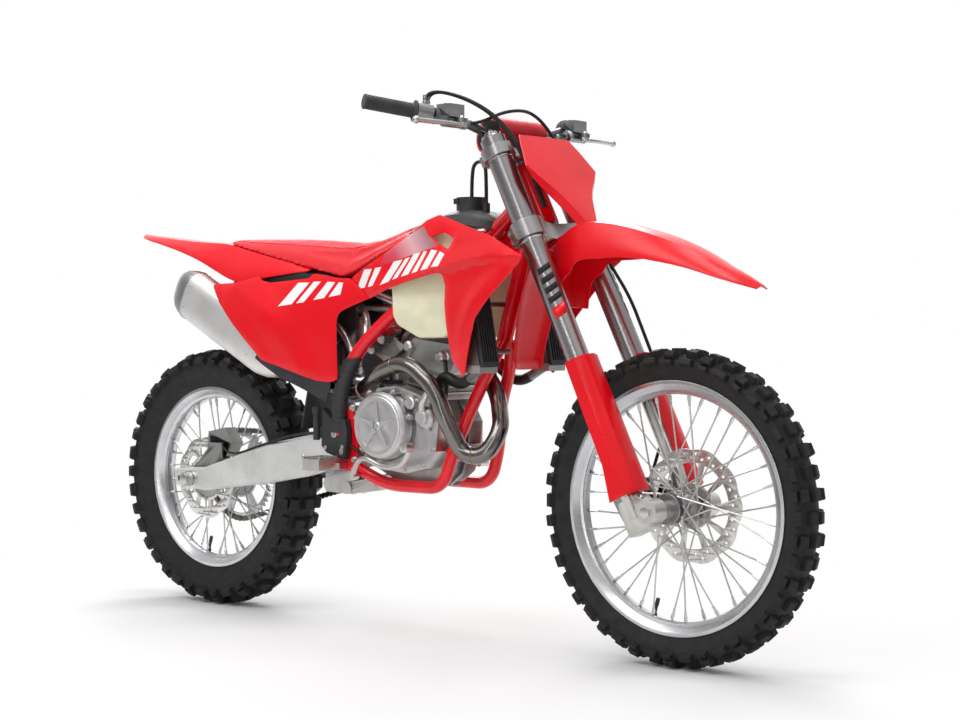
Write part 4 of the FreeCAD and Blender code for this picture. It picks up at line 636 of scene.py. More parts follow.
FRONT = {"name": "front", "centre": (WHEELBASE, FRONT_R), "tyre_r": FRONT_R, "lip_r": 281.0, "rim_w": 54.0,
         "tyre_w": 90.0, "flange_r": 36.0, "lug_h": 13.0, "pitches": 44}
REAR = {"name": "rear", "centre": (0.0, REAR_R), "tyre_r": REAR_R, "lip_r": 243.0, "rim_w": 70.0,
        "tyre_w": 112.0, "flange_r": 44.0, "lug_h": 15.0, "pitches": 38}
RIM_DEPTH = 31.0
FLANGE_Y = 31.0
SPOKES = 36


def tyre(wheel):
    """Knobbed tyre. The carcass is a half profile of (radius, y) turned about the axle; each knob is a
    tapered block whose up is the carcass normal at its place, set in alternating rows round the wheel."""
    cx, cz = wheel["centre"]
    r, lip, half, lug = wheel["tyre_r"], wheel["lip_r"], wheel["tyre_w"] / 2, wheel["lug_h"]
    base = r - lug
    side = [(lip - 20, wheel["rim_w"] / 2 - 12), (lip - 3, wheel["rim_w"] / 2 - 6),
            (lip + 3, wheel["rim_w"] / 2 - 1),
            (lip + 8, wheel["rim_w"] / 2 + 1)]
    t = np.linspace(0.0, 1.0, 10)[1:]
    shoulder_r = base - 17
    low_r = lip + 8
    bulge_y = half - 5
    wall = [(low_r + (shoulder_r - low_r) * s,
             wheel["rim_w"] / 2 + 1 + (bulge_y - wheel["rim_w"] / 2 - 1) * math.sin(s * math.pi * 0.52))
             for s in t]
    a = np.linspace(0.0, math.pi / 2, 8)[1:]
    end_y = wall[-1][1]
    crown = [(shoulder_r + (base - shoulder_r) * math.sin(v),
              end_y * (1 - (1 - math.cos(v)) ** 0.9)) for v in a]
    profile = side + wall + crown
    profile = profile + [(q, -y) for q, y in reversed(profile[:-1])]
    profile = [(q, -y) for q, y in profile]
    points = turned(profile, (cx, 0, cz), (0, 1, 0), 96)
    parts = [skin(points, True, True)]
    n = wheel["pitches"]
    rows = []
    for i in range(n):
        angle = 2 * math.pi * i / n
        if i % 2 == 0:
            rows += [(angle, -0.21, 0.3, 0.62), (angle, 0.21, 0.3, 0.62)]
            rows += [(angle, -0.93, 0.2, 0.72), (angle, 0.93, 0.2, 0.72)]
        else:
            rows += [(angle, 0.0, 0.34, 0.6), (angle, -0.56, 0.26, 0.6), (angle, 0.56, 0.26, 0.6)]
            rows += [(angle, -1.06, 0.14, 0.5), (angle, 1.06, 0.14, 0.5)]
    for angle, across, wide, long in rows:
        parts.append(knob((cx, cz), angle, across, wide, long, base, end_y, shoulder_r, lug, 2 * math.pi / n))
    name = wheel["name"]
    surface(name + "_knobbed_tyre", parts, name + "_wheel", "tyre", (name + "_tyre",), 28)


def knob(centre, angle, across, wide, long, base, half, shoulder_r, lug, pitch):
    """One block: across is its place on the tread's arc, wide and long its share of half width and pitch."""
    v = min(abs(across), 1.12) * math.pi / 2
    sign = 1 if across >= 0 else -1
    y = sign * half * math.sin(min(v, 1.62))
    r = shoulder_r + (base - shoulder_r) * max(math.cos(v), -0.28)
    tilt = min(v, 1.5) * 0.78 * sign
    c, s = math.cos(angle), math.sin(angle)
    radial = np.array([c, 0.0, s])
    along = np.array([-s, 0.0, c])
    up = radial * math.cos(tilt) + np.array([0, 1.0, 0]) * math.sin(tilt)
    side = np.cross(along, up)
    place = np.array([centre[0] + r * c, y, centre[1] + r * s]) - up * 2.5
    size = (long * pitch * base, wide * half * 1.9, lug + 2.5 if abs(across) < 0.8 else lug * 0.85 + 2)
    return block_points(place, along, side, up, size, 1.2, 0.84)


def rim(wheel):
    """Rim: its drop-centre section turned about the axle, with hooked lips and a shallow outer channel."""
    cx, cz = wheel["centre"]
    lip, half = wheel["lip_r"], wheel["rim_w"] / 2
    bed = lip - RIM_DEPTH
    profile = [(lip, half), (lip - 1.5, half + 0.6), (lip - 8, half + 0.4), (lip - 10, half - 1.2),
               (bed + 11, half * 0.66),
               (bed + 3, half * 0.36), (bed, half * 0.22), (bed, -half * 0.22), (bed + 3, -half * 0.36),
               (bed + 11, -half * 0.66), (lip - 10, -half + 1.2), (lip - 8, -half - 0.4),
               (lip - 1.5, -half - 0.6),
               (lip, -half), (lip, -half + 3.4), (lip - 8, -half + 4), (bed + 4, -half * 0.5),
               (bed + 4, half * 0.5),
               (lip - 8, half - 4), (lip, half - 3.4)]
    name = wheel["name"]
    ring = skin(turned(profile, (cx, 0, cz), Y, 120), True, True)
    surface(name + "_rim_finished", [ring], name + "_wheel", "rim", (name + "_rim",), 35)


def spokes(wheel):
    """Spokes as thin rods from the flange to the rim's bed, each with a head at the hub and a nipple."""
    cx, cz = wheel["centre"]
    bed = wheel["lip_r"] - RIM_DEPTH
    wires, nipples = [], []
    for i in range(SPOKES):
        end_angle = 2 * math.pi * (i + 0.5) / SPOKES
        side = 1 if i % 2 == 0 else -1
        outer = (i // 2) % 2
        begin = end_angle + math.radians(62) * (1 if outer else -1)
        y = side * (FLANGE_Y + (4.9 if outer else -4.9))
        foot = wheel["flange_r"] - 2
        a = np.array([cx + foot * math.cos(begin), y, cz + foot * math.sin(begin)])
        b = np.array([cx + (bed - 0.3) * math.cos(end_angle), side * 5.0,
                      cz + (bed - 0.3) * math.sin(end_angle)])
        way = (b - a) / np.linalg.norm(b - a)
        span = float(np.linalg.norm(b - a))
        bend = np.array([0, side * (-5.0 if outer else 5.0), 0])
        wires.append(skin(tube_points([a + bend, a, a + way * 12, b], [2.0, 2.0, 1.9, 1.9], 8), False, True,
                          True))
        head = [(0.01, -1.2), (3.4, -0.8), (3.4, 0.6), (0.01, 1.2)]
        wires.append(skin(turned(head, a + bend * 1.1, (0, 1, 0), 8), False, True))
        nip = [(0.01, span - 24), (2.9, span - 23.5), (2.9, span - 14), (3.9, span - 13), (3.9, span - 1.5),
               (0.01, span - 1.2)]
        nipples.append(skin(turned(nip, a, way, 6), False, True))
    name = wheel["name"]
    surface(name + "_spokes_finished", wires, name + "_wheel", "steel", (name + "_spokes",), 40)
    surface(name + "_nipples_finished", nipples, name + "_wheel", "rim", (), 40)


def brake_disc(wheel, outer, inner, low, high, waves, stem):
    """Wave disc cut from plate: radius = outer - dip (1 - cos(waves angle)) / 2, with slots and drilled
    holes."""
    cx, cz = wheel["centre"]
    angle = np.arange(waves * 16) * 2 * math.pi / (waves * 16)
    r = outer - 5.0 * (0.5 - 0.5 * np.cos(angle * waves)) ** 1.5
    loops = [polar((cx, cz), r, angle)]
    inner_r = inner + 3.0 * (0.5 - 0.5 * np.cos(angle * waves))
    loops.append(polar((cx, cz), inner_r, angle))
    band_in = outer * 0.74
    for i in range(waves):
        a0, a1 = 2 * math.pi * (i + 0.14) / waves, 2 * math.pi * (i + 0.86) / waves
        arc = np.linspace(a0, a1, 9)
        skew = 0.5 / waves
        outside = polar((cx, cz), band_in, arc + skew)
        loops.append(np.concatenate([outside, polar((cx, cz), inner + 10, arc[::-1])]))
        for k, share in ((0.12, 0.82), (0.38, 0.9), (0.64, 0.82), (0.88, 0.9)):
            spot = 2 * math.pi * (i + k) / waves
            place = (cx + outer * share * math.cos(spot), cz + outer * share * math.sin(spot))
            loops.append(ring_loop(place, 3.4, 10))
    obj = plate(wheel["name"] + "_wave_disc", loops, low, high, 0.35)
    finish_piece(obj.name, obj, wheel["name"] + "_wheel", "disc", (wheel["name"] + "_disc",))
    bolts = [bolt_head((cx + stem * math.cos(a), high if high > 0 else low, cz + stem * math.sin(a)),
                       (0, 1.0 if high > 0 else -1.0, 0), 5.5, 3.5)
             for a in 2 * math.pi * (np.arange(6) + 0.5) / 6]
    bolt_piece(wheel["name"] + "_disc_bolts", bolts, wheel["name"] + "_wheel")


def bolt_head(place, axis, radius, height):
    """Bolt head: a rounded disc with a hexagonal recess."""
    profile = [(radius, 0.0), (radius, height * 0.75), (radius * 0.86, height), (radius * 0.5, height),
               (radius * 0.5, height * 0.45), (0.01, height * 0.4)]
    return skin(turned(profile, place, axis, 12), False, True)


def hex_head(place, axis, radius, height):
    """Hexagon head with a chamfered top on a round washer."""
    washer = skin(turned([(radius * 1.3, 0.0), (radius * 1.3, 1.0), (0.01, 1.0)], place, axis, 14), False,
                  True)
    top = turned([(radius, 0.8), (radius, height * 0.85), (radius * 0.84, height), (0.01, height)], place,
                 axis, 6)
    return join([washer, skin(top, False, True)])


def bolt_piece(name, parts, body):
    """One piece from several bolt heads on the same body."""
    return surface(name, parts, body, "steel")


CHAIN_PITCH = 15.875
CHAIN_Y = 69.0
REAR_TEETH = 48
FRONT_TEETH = 13
COUNTER = (652.0, 428.0)
SPROCKET_HALF = 2.9


def pitch_radius(teeth):
    """Radius of the circle on which the chain's pins lie a pitch apart."""
    return CHAIN_PITCH / (2 * math.sin(math.pi / teeth))


def toothed_loop(centre, teeth):
    """Sprocket outline: a radius that rises and falls once for each tooth, with round seats between the
    tips."""
    angle = np.arange(teeth * 8) * 2 * math.pi / (teeth * 8)
    wave = 0.5 + 0.5 * np.cos(angle * teeth + math.pi)
    return polar(centre, pitch_radius(teeth) - 5.4 + 8.6 * wave ** 1.6, angle)


def rear_sprocket():
    """Sprocket plate: tooth tips and round roller seats on the pitch circle, large windows and six bolts."""
    cx, cz = REAR["centre"]
    loops = [toothed_loop((cx, cz), REAR_TEETH), ring_loop((cx, cz), 46.0, 48)]
    for i in range(6):
        a, b = 2 * math.pi * (i + 0.15) / 6, 2 * math.pi * (i + 0.85) / 6
        arc = np.linspace(a, b, 11)
        far = pitch_radius(REAR_TEETH) - 18.5 + 2.5 * np.sin(np.linspace(0, math.pi, 11))
        loops.append(np.concatenate([polar((cx, cz), far, arc), polar((cx, cz), 63.0, arc[::-1])]))
    obj = plate("rear_sprocket_finished", loops, CHAIN_Y - SPROCKET_HALF, CHAIN_Y + SPROCKET_HALF, 0.4)
    finish_piece(obj.name, obj, "rear_wheel", "rim", ("rear_sprocket",))
    heads = [hex_head((cx + 54 * math.cos(a), 72, cz + 54 * math.sin(a)), (0, 1, 0), 5.5, 5)
             for a in 2 * math.pi * np.arange(6) / 6]
    bolt_piece("sprocket_bolts", heads, "rear_wheel")


def chain():
    """Roller chain: the pitch line is two arcs and two tangents; each link has two waisted side plates and
    its rollers sit a pitch apart, the wide and narrow plates taking turns."""
    big, small = pitch_radius(REAR_TEETH), pitch_radius(FRONT_TEETH)
    (x0, z0), (x1, z1) = REAR["centre"], COUNTER
    far = math.hypot(x1 - x0, z1 - z0)
    heading = math.atan2(z1 - z0, x1 - x0)
    spread = math.acos((big - small) / far)
    steps = 64
    front = np.linspace(heading + spread, heading - spread, steps)
    back = np.linspace(heading - spread, heading + spread - 2 * math.pi, steps)
    line = np.concatenate([polar((x1, z1), small, front), polar((x0, z0), big, back)])
    closed = np.concatenate([line, line[:1]])
    length = np.concatenate([[0], np.cumsum(np.linalg.norm(np.diff(closed, axis=0), axis=1))])
    links = 2 * int(round(length[-1] / CHAIN_PITCH / 2))
    at = np.arange(links) * length[-1] / links
    pins = np.stack([np.interp(at, length, closed[:, 0]), np.interp(at, length, closed[:, 1])], 1)
    parts = []
    angle = np.linspace(0, math.pi, 6)
    for i in range(links):
        a, b = pins[i], pins[(i + 1) % links]
        way = (b - a) / np.linalg.norm(b - a)
        up = np.array([-way[1], way[0]])
        r = 6.9 if i % 2 else 7.3
        loop = [b + r * (way * math.sin(v) + up * math.cos(v)) for v in angle]
        loop += [(a + b) / 2 - up * r * 0.72]
        loop += [a - r * (way * math.sin(v) + up * math.cos(v)) for v in angle]
        loop += [(a + b) / 2 + up * r * 0.72]
        loop = np.array(loop)
        y_in = 3.6 if i % 2 == 0 else 5.6
        for side in (-1, 1):
            rings = [np.stack([loop[:, 0], np.full(len(loop), CHAIN_Y + side * (y_in + d)), loop[:, 1]],
                              1) for d in (0.0, 1.9)]
            parts.append(skin(np.array(rings), False, True, True))
        parts.append(skin(turned([(0.01, -8.0), (2.6, -8.0), (2.6, 8.0), (0.01, 8.0)], (a[0], CHAIN_Y, a[1]),
                                 Y, 8),
                          False, True))
        parts.append(skin(turned([(5.0, -3.3), (5.0, 3.3)], (a[0], CHAIN_Y, a[1]), Y, 10), False, True))
    surface("chain_links", parts, "chassis", "dark", ("chain",), 35)
    loops = [toothed_loop(COUNTER, FRONT_TEETH), ring_loop(COUNTER, 11.4, 24)]
    obj = plate("front_sprocket", loops, CHAIN_Y - SPROCKET_HALF, CHAIN_Y + SPROCKET_HALF, 0.4)
    finish_piece(obj.name, obj, "chassis", "steel")


def tyre_valve(wheel):
    """Valve stem with its cap, pointing from the rim's bed to the axle."""
    cx, cz = wheel["centre"]
    bed = wheel["lip_r"] - RIM_DEPTH
    angle = math.radians(255)
    way = np.array([-math.cos(angle), 0, -math.sin(angle)])
    foot = np.array([cx, 0, cz]) - way * (bed + 1)
    stem = skin(turned([(6, 0), (6, 4), (3.8, 4.5), (3.8, 22), (4.8, 22.5), (4.8, 38), (3.4, 40),
                        (0.01, 40)], foot, way,
                       10), False, True)
    surface(wheel["name"] + "_valve", [stem], wheel["name"] + "_wheel", "black", (), 35)


# Bodywork
SIDE_OUTLINE = [(111, 858), (202, 861), (282, 877), (297, 866), (331, 859), (457, 869), (470, 881),
                (557, 868),
                (600, 867), (670, 817), (606, 797), (572, 784), (562, 767), (567, 618), (544, 611),
                (500, 613),
                (324, 664), (127, 832)]
SIDE_PLAN = ((90, 330, 440, 560, 700), (540, 660, 760, 890),
             ((154, 158, 138, 132, 130), (158, 162, 144, 134, 130), (158, 162, 146, 133, 129),
              (120, 124, 116, 113, 124)))
SHROUD_OUTLINE = [(668, 815), (756, 842), (883, 868), (926, 874), (938, 842), (942, 800), (956, 725),
                  (968, 672),
                  (1006, 632), (1057, 768), (1104, 820), (1196, 906), (1066, 958), (969, 986), (886, 1012),
                  (846, 1000), (805, 971), (726, 929), (650, 893), (599, 867)]
SHROUD_WINDOW = [(874, 960), (915, 969), (953, 953), (943, 928), (907, 942)]
SHROUD_PLAN = ((560, 760, 950, 1220), (620, 820, 900, 1020),
               ((112, 134, 178, 216), (112, 136, 178, 216), (112, 132, 160, 188), (96, 108, 112, 128)))
SIDE_BARS = [[(378, 799), (418, 804), (462, 858), (425, 858)], [(432, 806), (456, 809), (500, 860),
                                                                (476, 860)],
             [(486, 814), (520, 819), (548, 858), (522, 859)], [(534, 821), (572, 827), (576, 856),
                                                                (560, 857)]]
SHROUD_BARS = [[(623, 840), (652, 843), (678, 888), (650, 887)], [(664, 844), (686, 847), (712, 892),
                                                                  (690, 890)],
               [(714, 848), (746, 856), (788, 908), (756, 904)], [(758, 860), (778, 865), (814, 913),
                                                                  (798, 910)],
               [(792, 867), (820, 872), (850, 924), (826, 920)], [(832, 874), (852, 878), (872, 926),
                                                                  (860, 925)],
               [(864, 880), (890, 884), (908, 926), (886, 929)], [(902, 887), (928, 889), (938, 917),
                                                                  (918, 924)]]
# Outline of the painted highlight and shade on the shroud's upper rear.
PAINTED_HIGHLIGHT_LOOP = [(702, 893), (800, 914), (872, 930), (905, 936), (866, 962), (843, 986), (805, 969), (728, 928)]


def smooth_between(stops, values, at):
    """Smooth curve through values at the stops, one column for each point: a cubic between neighbours
    whose slope at each stop is the mean of its two sides'."""
    stops = np.asarray(stops, float)
    values = np.asarray(values, float)
    at = np.atleast_1d(np.asarray(at, float))
    if values.ndim == 1:
        values = np.repeat(values[:, None], len(at), 1)
    slope = np.gradient(values, stops, axis=0)
    k = np.clip(np.searchsorted(stops, at) - 1, 0, len(stops) - 2)
    n = np.arange(len(at))
    h = stops[k + 1] - stops[k]
    t = np.clip((at - stops[k]) / h, 0, 1)
    a, b, p, q = values[k, n], values[k + 1, n], slope[k, n] * h, slope[k + 1, n] * h
    return (2 * t**3 - 3 * t**2 + 1) * a + (t**3 - 2 * t**2 + t) * p + (3 * t**2 - 2
                                                                        * t**3) * b + (t**3 - t**2) * q


def plan_reach(plan, x, z):
    """Distance of a panel from the bike's middle plane: straight runs along each level, smooth between
    them."""
    stations, levels, table = plan
    rows = 0.8 + np.stack([np.interp(x, stations, row) for row in table])
    return smooth_between(levels, rows, z)


def line_distance(points, line):
    """Distance of side-view points from an open line."""
    best = np.full(len(points), 1e9)
    line = np.asarray(line, float)
    for a, b in zip(line, line[1:]):
        run = b - a
        t = np.clip((points - a) @ run / (run @ run), 0, 1)
        best = np.minimum(best, np.linalg.norm(points - a - t[:, None] * run, axis=1))
    return best


def in_loop(points, loop):
    """Which side-view points lie inside a closed loop, by counting the edges to one side of each."""
    x, z = points[:, 0], points[:, 1]
    inside = np.zeros(len(points), bool)
    loop = np.asarray(loop, float)
    for (x0, z0), (x1, z1) in zip(loop, np.roll(loop, -1, 0)):
        if z1 != z0:
            inside ^= ((z0 > z) != (z1 > z)) & (x < (x1 - x0) * (z - z0) / (z1 - z0) + x0)
    return inside


def rounded(loop, reach):
    """Closed loop whose corners are short curves that start up to reach before each corner."""
    loop = np.asarray(loop, float)
    before, after = np.roll(loop, 1, 0), np.roll(loop, -1, 0)
    t = np.linspace(0, 1, 6)[None, :, None]
    ends = []
    for other in (before, after):
        way = other - loop
        size = np.linalg.norm(way, axis=1)[:, None]
        ends.append(loop + way / size * np.minimum(reach, 0.42 * size))
    enter, leave = ends[0][:, None], ends[1][:, None]
    return ((1 - t)**2 * enter + 2 * t * (1 - t) * loop[:, None] + t**2 * leave).reshape(-1, 2)


def dense(loop, step, closed=True):
    """Line with points no farther apart than the step."""
    loop = np.asarray(loop, float)
    ends = np.roll(loop, -1, 0) if closed else loop[1:]
    out = []
    for a, b in zip(loop, ends):
        count = max(1, int(math.ceil(np.linalg.norm(b - a) / step)))
        out.append(a + (b - a) * (np.arange(count) / count)[:, None])
    if not closed:
        out.append(loop[-1:])
    return np.concatenate(out)


def moulded_panel(name, outline, plan, lift, holes=(), films=(), lines=(), step=10.0):
    """Thin panel over its side-view outline on both sides of the bike. A grid of points and every border,
    film edge and crease line are joined into triangles, and each point stands out by the panel's plan plus
    lift(points). films are (loop, material slot)."""
    verts, edges = [], []
    for loop, closed in [(outline, True)] + [(h, True) for h in holes] + [(f, True) for f, _ in films] \
            + [(line, False) for line in lines]:
        loop = dense(loop, step, closed)
        start = len(verts)
        verts.extend(loop.tolist())
        count = len(loop)
        edges.extend([(start + i, start + (i + 1) % count) for i in range(count if closed else count - 1)])
    border = np.array(verts)
    low, high = np.asarray(outline).min(0), np.asarray(outline).max(0)
    x, z = np.meshgrid(np.arange(low[0], high[0], step), np.arange(low[1], high[1], step * 0.87))
    x[1::2] += step / 2
    grid = np.stack([x.ravel(), z.ravel()], 1)
    grid = grid[in_loop(grid, outline)]
    near = np.array([np.min(np.sum((border - g)**2, 1)) for g in grid])
    grid = grid[near > (0.55 * step)**2]
    points = [Vector(v) for v in verts + grid.tolist()]
    out = delaunay_2d_cdt(points, edges, [], 0, 1e-4)
    flat = np.array([v[:] for v in out[0]])
    tris = np.array(out[2])
    centre = flat[tris].mean(1)
    keep = in_loop(centre, outline)
    for hole in holes:
        keep &= ~in_loop(centre, hole)
    tris, centre = tris[keep], centre[keep]
    slots = np.zeros(len(tris), int)
    for loop, index in films:
        slots[in_loop(centre, loop)] = index
    reach = plan_reach(plan, flat[:, 0], flat[:, 1]) + lift(flat)
    sides = []
    for side in (-1, 1):
        placed = lay(np.stack([flat[:, 0], side * reach, flat[:, 1]], 1))
        sides.append((placed, tris if side < 0 else tris[:, ::-1]))
    obj = add_object(name, *join(sides), smooth=30.0)
    bm = bmesh.new()
    bm.from_mesh(obj.data)
    for face, index in zip(bm.faces, np.concatenate([slots, slots])):
        face.material_index = int(index)
    loose = [v for v in bm.verts if not v.link_faces]
    bmesh.ops.delete(bm, geom=loose, context="VERTS")
    bm.to_mesh(obj.data)
    bm.free()
    thicken(obj, PANEL_WALL)
    roll_edges(obj, 0.9, 50)
    return obj


def side_panels():
    """Side panels: a crease runs down behind the front edge, and the rear edge turns outwards."""
    outline = rounded(SIDE_OUTLINE, 9)
    crease = [(205, 850), (290, 812), (365, 773), (408, 700), (452, 640)]
    ridge = [(300, 850), (378, 826), (470, 815), (560, 818)]

    def lift(p):
        back = np.clip(1 - line_distance(p, crease) / 55, 0, 1)
        rise = np.clip(1 - line_distance(p, ridge) / 40, 0, 1)
        edge = line_distance(p, np.concatenate([outline, outline[:1]]))
        return 7.0 * back + 1.5 * rise - 2.2 * np.clip(1 - edge / 7, 0, 1)**2

    films = [(bar, 1) for bar in SIDE_BARS]
    obj = moulded_panel("side_panels_moulded", outline, SIDE_PLAN, lift, (), films, (crease, ridge))
    finish_piece("side_panels_moulded", obj, "chassis", None, ("side_panels",))
    for key in ("red", "white"):
        obj.data.materials.append(materials()[key])


def shrouds():
    """Radiator shrouds: the upper band stands proud along a ridge, and the scoop below it turns inwards."""
    outline = rounded(SHROUD_OUTLINE, 8)
    window = rounded(SHROUD_WINDOW, 7)
    ridge = [(700, 834), (801, 854), (887, 875), (943, 889), (1034, 905), (1110, 911), (1188, 907)]
    fold = [(968, 955), (1000, 938), (1031, 913)]
    brow = [(905, 1000), (984, 972), (1060, 945), (1120, 925)]
    rear = [(930, 872), (942, 800), (956, 725), (968, 672), (1004, 634)]
    chin = [(1000, 700), (1040, 790), (1090, 850), (1150, 894)]

    def lift(p):
        along = np.interp(p[:, 0], *np.array(ridge).T)
        below = np.clip((along - p[:, 1]) / 18, 0, 1) * np.clip((p[:, 0] - 730) / 60, 0, 1)
        inward = np.clip(1 - line_distance(p, rear) / 110, 0, 1) * below
        crest = np.clip(1 - line_distance(p, ridge) / 42, 0, 1)
        inner = np.clip(1 - line_distance(p, fold) / 22, 0, 1)
        upper = np.clip(1 - line_distance(p, brow) / 30, 0, 1)
        lower = np.clip(1 - line_distance(p, chin) / 34, 0, 1)
        edge = line_distance(p, np.concatenate([outline, outline[:1]]))
        lip = np.clip(1 - line_distance(p, np.concatenate([window, window[:1]])) / 8, 0, 1)
        raised = 8.0 * crest - 9.0 * below * below - 7.0 * inward + 2.5 * inner + 2.0 * upper
        rolled = 2.2 * np.clip(1 - edge / 7, 0, 1)**2
        return raised + 5.0 * lower - 2.0 * lip - rolled

    # Slot 2 paints a highlight and shade on the upper rear; slot 1 is the white print of the bars.
    films = [(PAINTED_HIGHLIGHT_LOOP, 2)] + [(bar, 1) for bar in SHROUD_BARS]
    obj = moulded_panel("shrouds_moulded", outline, SHROUD_PLAN, lift, (window,), films,
                        (ridge, fold, brow, chin))
    finish_piece("shrouds_moulded", obj, "chassis", None, ("shrouds",))
    for key in ("red", "white", "fade"):
        obj.data.materials.append(materials()[key])


# Seat
SEAT_ROWS = [(98, 979, 964, 46, 62), (240, 973, 934.5, 56, 84), (420, 963, 897, 58, 99),
             (500, 957, 880.4, 58, 103),
             (560, 954, 871, 56, 105), (604, 959, 887, 54, 102), (656, 970, 912, 50, 97),
             (708, 986, 936, 44, 90),
             (752, 1000, 957, 40, 82)]


def seat_values(x):
    """Top, lower edge, half width of the top and half width of the lower edge of the seat at places along
    it."""
    stops = [row[0] for row in SEAT_ROWS]
    return [smooth_between(stops, [row[i] for row in SEAT_ROWS], x) for i in (1, 2, 3, 4)]


def seat_shape(inset):
    """Crowned pad: each ring rises from its lower edge, pulls in to the shoulder seam and crowns over the
    top."""
    x = np.concatenate([[98.5, 100.5, 104], np.linspace(112, 740, 64), [746, 749.5, 751.5]])
    shrink = np.concatenate([[7, 3, 1], np.zeros(64), [1, 3, 7]]) + inset
    top, low, half_top, half_low = seat_values(x)
    tall = top - low
    ring = [(0 * x, low + 1), (half_low * 0.5, low + 0.6), (half_low - 5, low), (half_low, low + 2.5),
            (half_low * 0.62 + (half_top + 8) * 0.38, low + tall * 0.3), (half_top + 8, low + tall * 0.58),
            (half_top + 1, low + tall * 0.8), (half_top * 0.93, top - 6), (half_top * 0.74, top - 1.5),
            (half_top * 0.4, top + 0.5), (0 * x, top + 1.5)]
    y = np.stack([p[0] for p in ring], 1)
    z = np.stack([p[1] for p in ring], 1)
    stops = np.linspace(0, 1, len(ring))
    fine = np.linspace(0, 1, 45)
    y = np.stack([smooth_between(stops, row, fine) for row in y])
    z = np.stack([smooth_between(stops, row, fine) for row in z])
    middle, half_tall = ((top + low) / 2)[:, None], (tall / 2)[:, None]
    y = y * np.clip(1 - shrink[:, None] / half_low[:, None], 0.1, 1)
    z = middle + (z - middle) * np.clip(1 - shrink[:, None] / half_tall, 0.1, 1)
    y = np.concatenate([y, -y[:, -2:0:-1]], 1)
    z = np.concatenate([z, z[:, -2:0:-1]], 1)
    return lay(np.stack([np.repeat(x[:, None], y.shape[1], 1), y, z], 2))


def seat():
    """Padded seat. Its cover swells under a little pressure while its lower edge stays stapled to the
    base."""
    obj = outwards(add_object("seat_cushion", *skin(seat_shape(1.5), False, True, True), smooth=70.0))
    swell(obj, 0.005, 4.0, 5.0, lambda place: place[:, 2] < seat_values(place[:, 0])[1] + 5)
    mesh = obj.data
    place = places(mesh) / MM + SEAT_LOW
    top, _, half_top, _ = seat_values(place[:, 0])
    over = (half_top * 0.93 - np.abs(place[:, 1])) + (place[:, 2] - top + 6)
    share = mesh.attributes.new("top_share", "FLOAT", "POINT")
    share.data.foreach_set("value", np.clip(0.5 + over / 40, 0, 1))
    mesh.shade_smooth()
    more = obj.modifiers.new("finer", "SUBSURF")
    more.levels = more.render_levels = 1
    finish_piece("seat_cushion", obj, "chassis", "seat", ("seat",))
    graph = bpy.context.evaluated_depsgraph_get()
    tree = BVHTree.FromObject(obj, graph)
    x = np.linspace(112, 738, 90)
    top, _, half_top, _ = seat_values(x)
    for side in (-1, 1):
        line = lay(np.stack([x, side * (half_top * 0.93 + 2), top - 4], 1))
        line = np.array([tree.find_nearest(Vector(p))[0][:] for p in line])
        welt = add_object("seat_welt", *skin(tube_points(line, 0.0012, 8), False, True, True))
        outwards(welt)
        finish_piece(named("seat_welt", side), welt, "chassis", "seat")


def swell(obj, voxel, pressure, cap_mm, pinned):
    """Even mesh, then a short cloth run with air pressure and no gravity, held where pinned says. No point
    ends farther than the cap from where it began."""
    bpy.context.view_layer.objects.active = obj
    even = obj.modifiers.new("even", "REMESH")
    even.mode = "VOXEL"
    even.voxel_size = voxel
    bpy.ops.object.modifier_apply(modifier="even")
    rest = places(obj.data)
    pins = obj.vertex_groups.new(name="stapled")
    pins.add(np.nonzero(pinned(rest / MM + SEAT_LOW))[0].tolist(), 1.0, "REPLACE")
    cloth = obj.modifiers.new("cloth", "CLOTH")
    values = cloth.settings
    values.quality = 5
    values.mass = 0.4
    values.use_pressure = True
    values.uniform_pressure_force = pressure
    values.tension_stiffness = values.compression_stiffness = 18
    values.bending_stiffness = 1.5
    values.effector_weights.gravity = 0
    values.vertex_group_mass = "stapled"
    scene = bpy.context.scene
    for number in range(1, 21):
        scene.frame_set(number)
    puffed = obj.evaluated_get(bpy.context.evaluated_depsgraph_get()).to_mesh()
    moved = places(puffed)
    obj.modifiers.remove(cloth)
    scene.frame_set(1)
    step = moved - rest
    size = np.linalg.norm(step, axis=1)
    step *= np.minimum(1, cap_mm * MM / np.maximum(size, 1e-9))[:, None]
    put(obj.data, rest + step)
    obj.vertex_groups.clear()
    obj.data.update()
    print(obj.name, "swelled", len(rest), "points by", round(float(size.mean() / MM), 1), "mm on average")


# Held hoses and cables


def hoses(name, node, runs, radii):
    """Held hoses on smooth curves whose control points are the route of the solid hoses."""
    curve = bpy.data.curves.new(name, "CURVE")
    curve.dimensions = "3D"
    curve.resolution_u = 8
    curve.bevel_depth = max(radii) * MM
    curve.bevel_resolution = 4
    curve.use_fill_caps = True
    for points, radius in zip(runs, radii):
        for point in nurbs(curve, lay(points)).points:
            point.radius = radius / max(radii)
    obj = bpy.data.objects.new(name, curve)
    bpy.context.scene.collection.objects.link(obj)
    return finish_piece(name, obj, BODY_OF[node], "hose", (node,))


def grip_point(side, y):
    """Point on the bar's axis under a grip at a distance across the bike."""
    (x0, y0, z0), (x1, y1, z1) = BAR_ENDS
    share = (y - y0) / (y1 - y0)
    return np.array((x0 + (x1 - x0) * share, side * y, z0 + (z1 - z0) * share))


BAR_MIDDLE = fork_point(6.5, 0, 958.0)
BAR_ENDS = ((BAR_MIDDLE[0] - 9.5, 186.0, BAR_MIDDLE[2] + 30), (BAR_MIDDLE[0] - 120, 380.0,
                                                               BAR_MIDDLE[2] + 62))
GRIP_IN = 278.0
PERCH_Y = 230.0


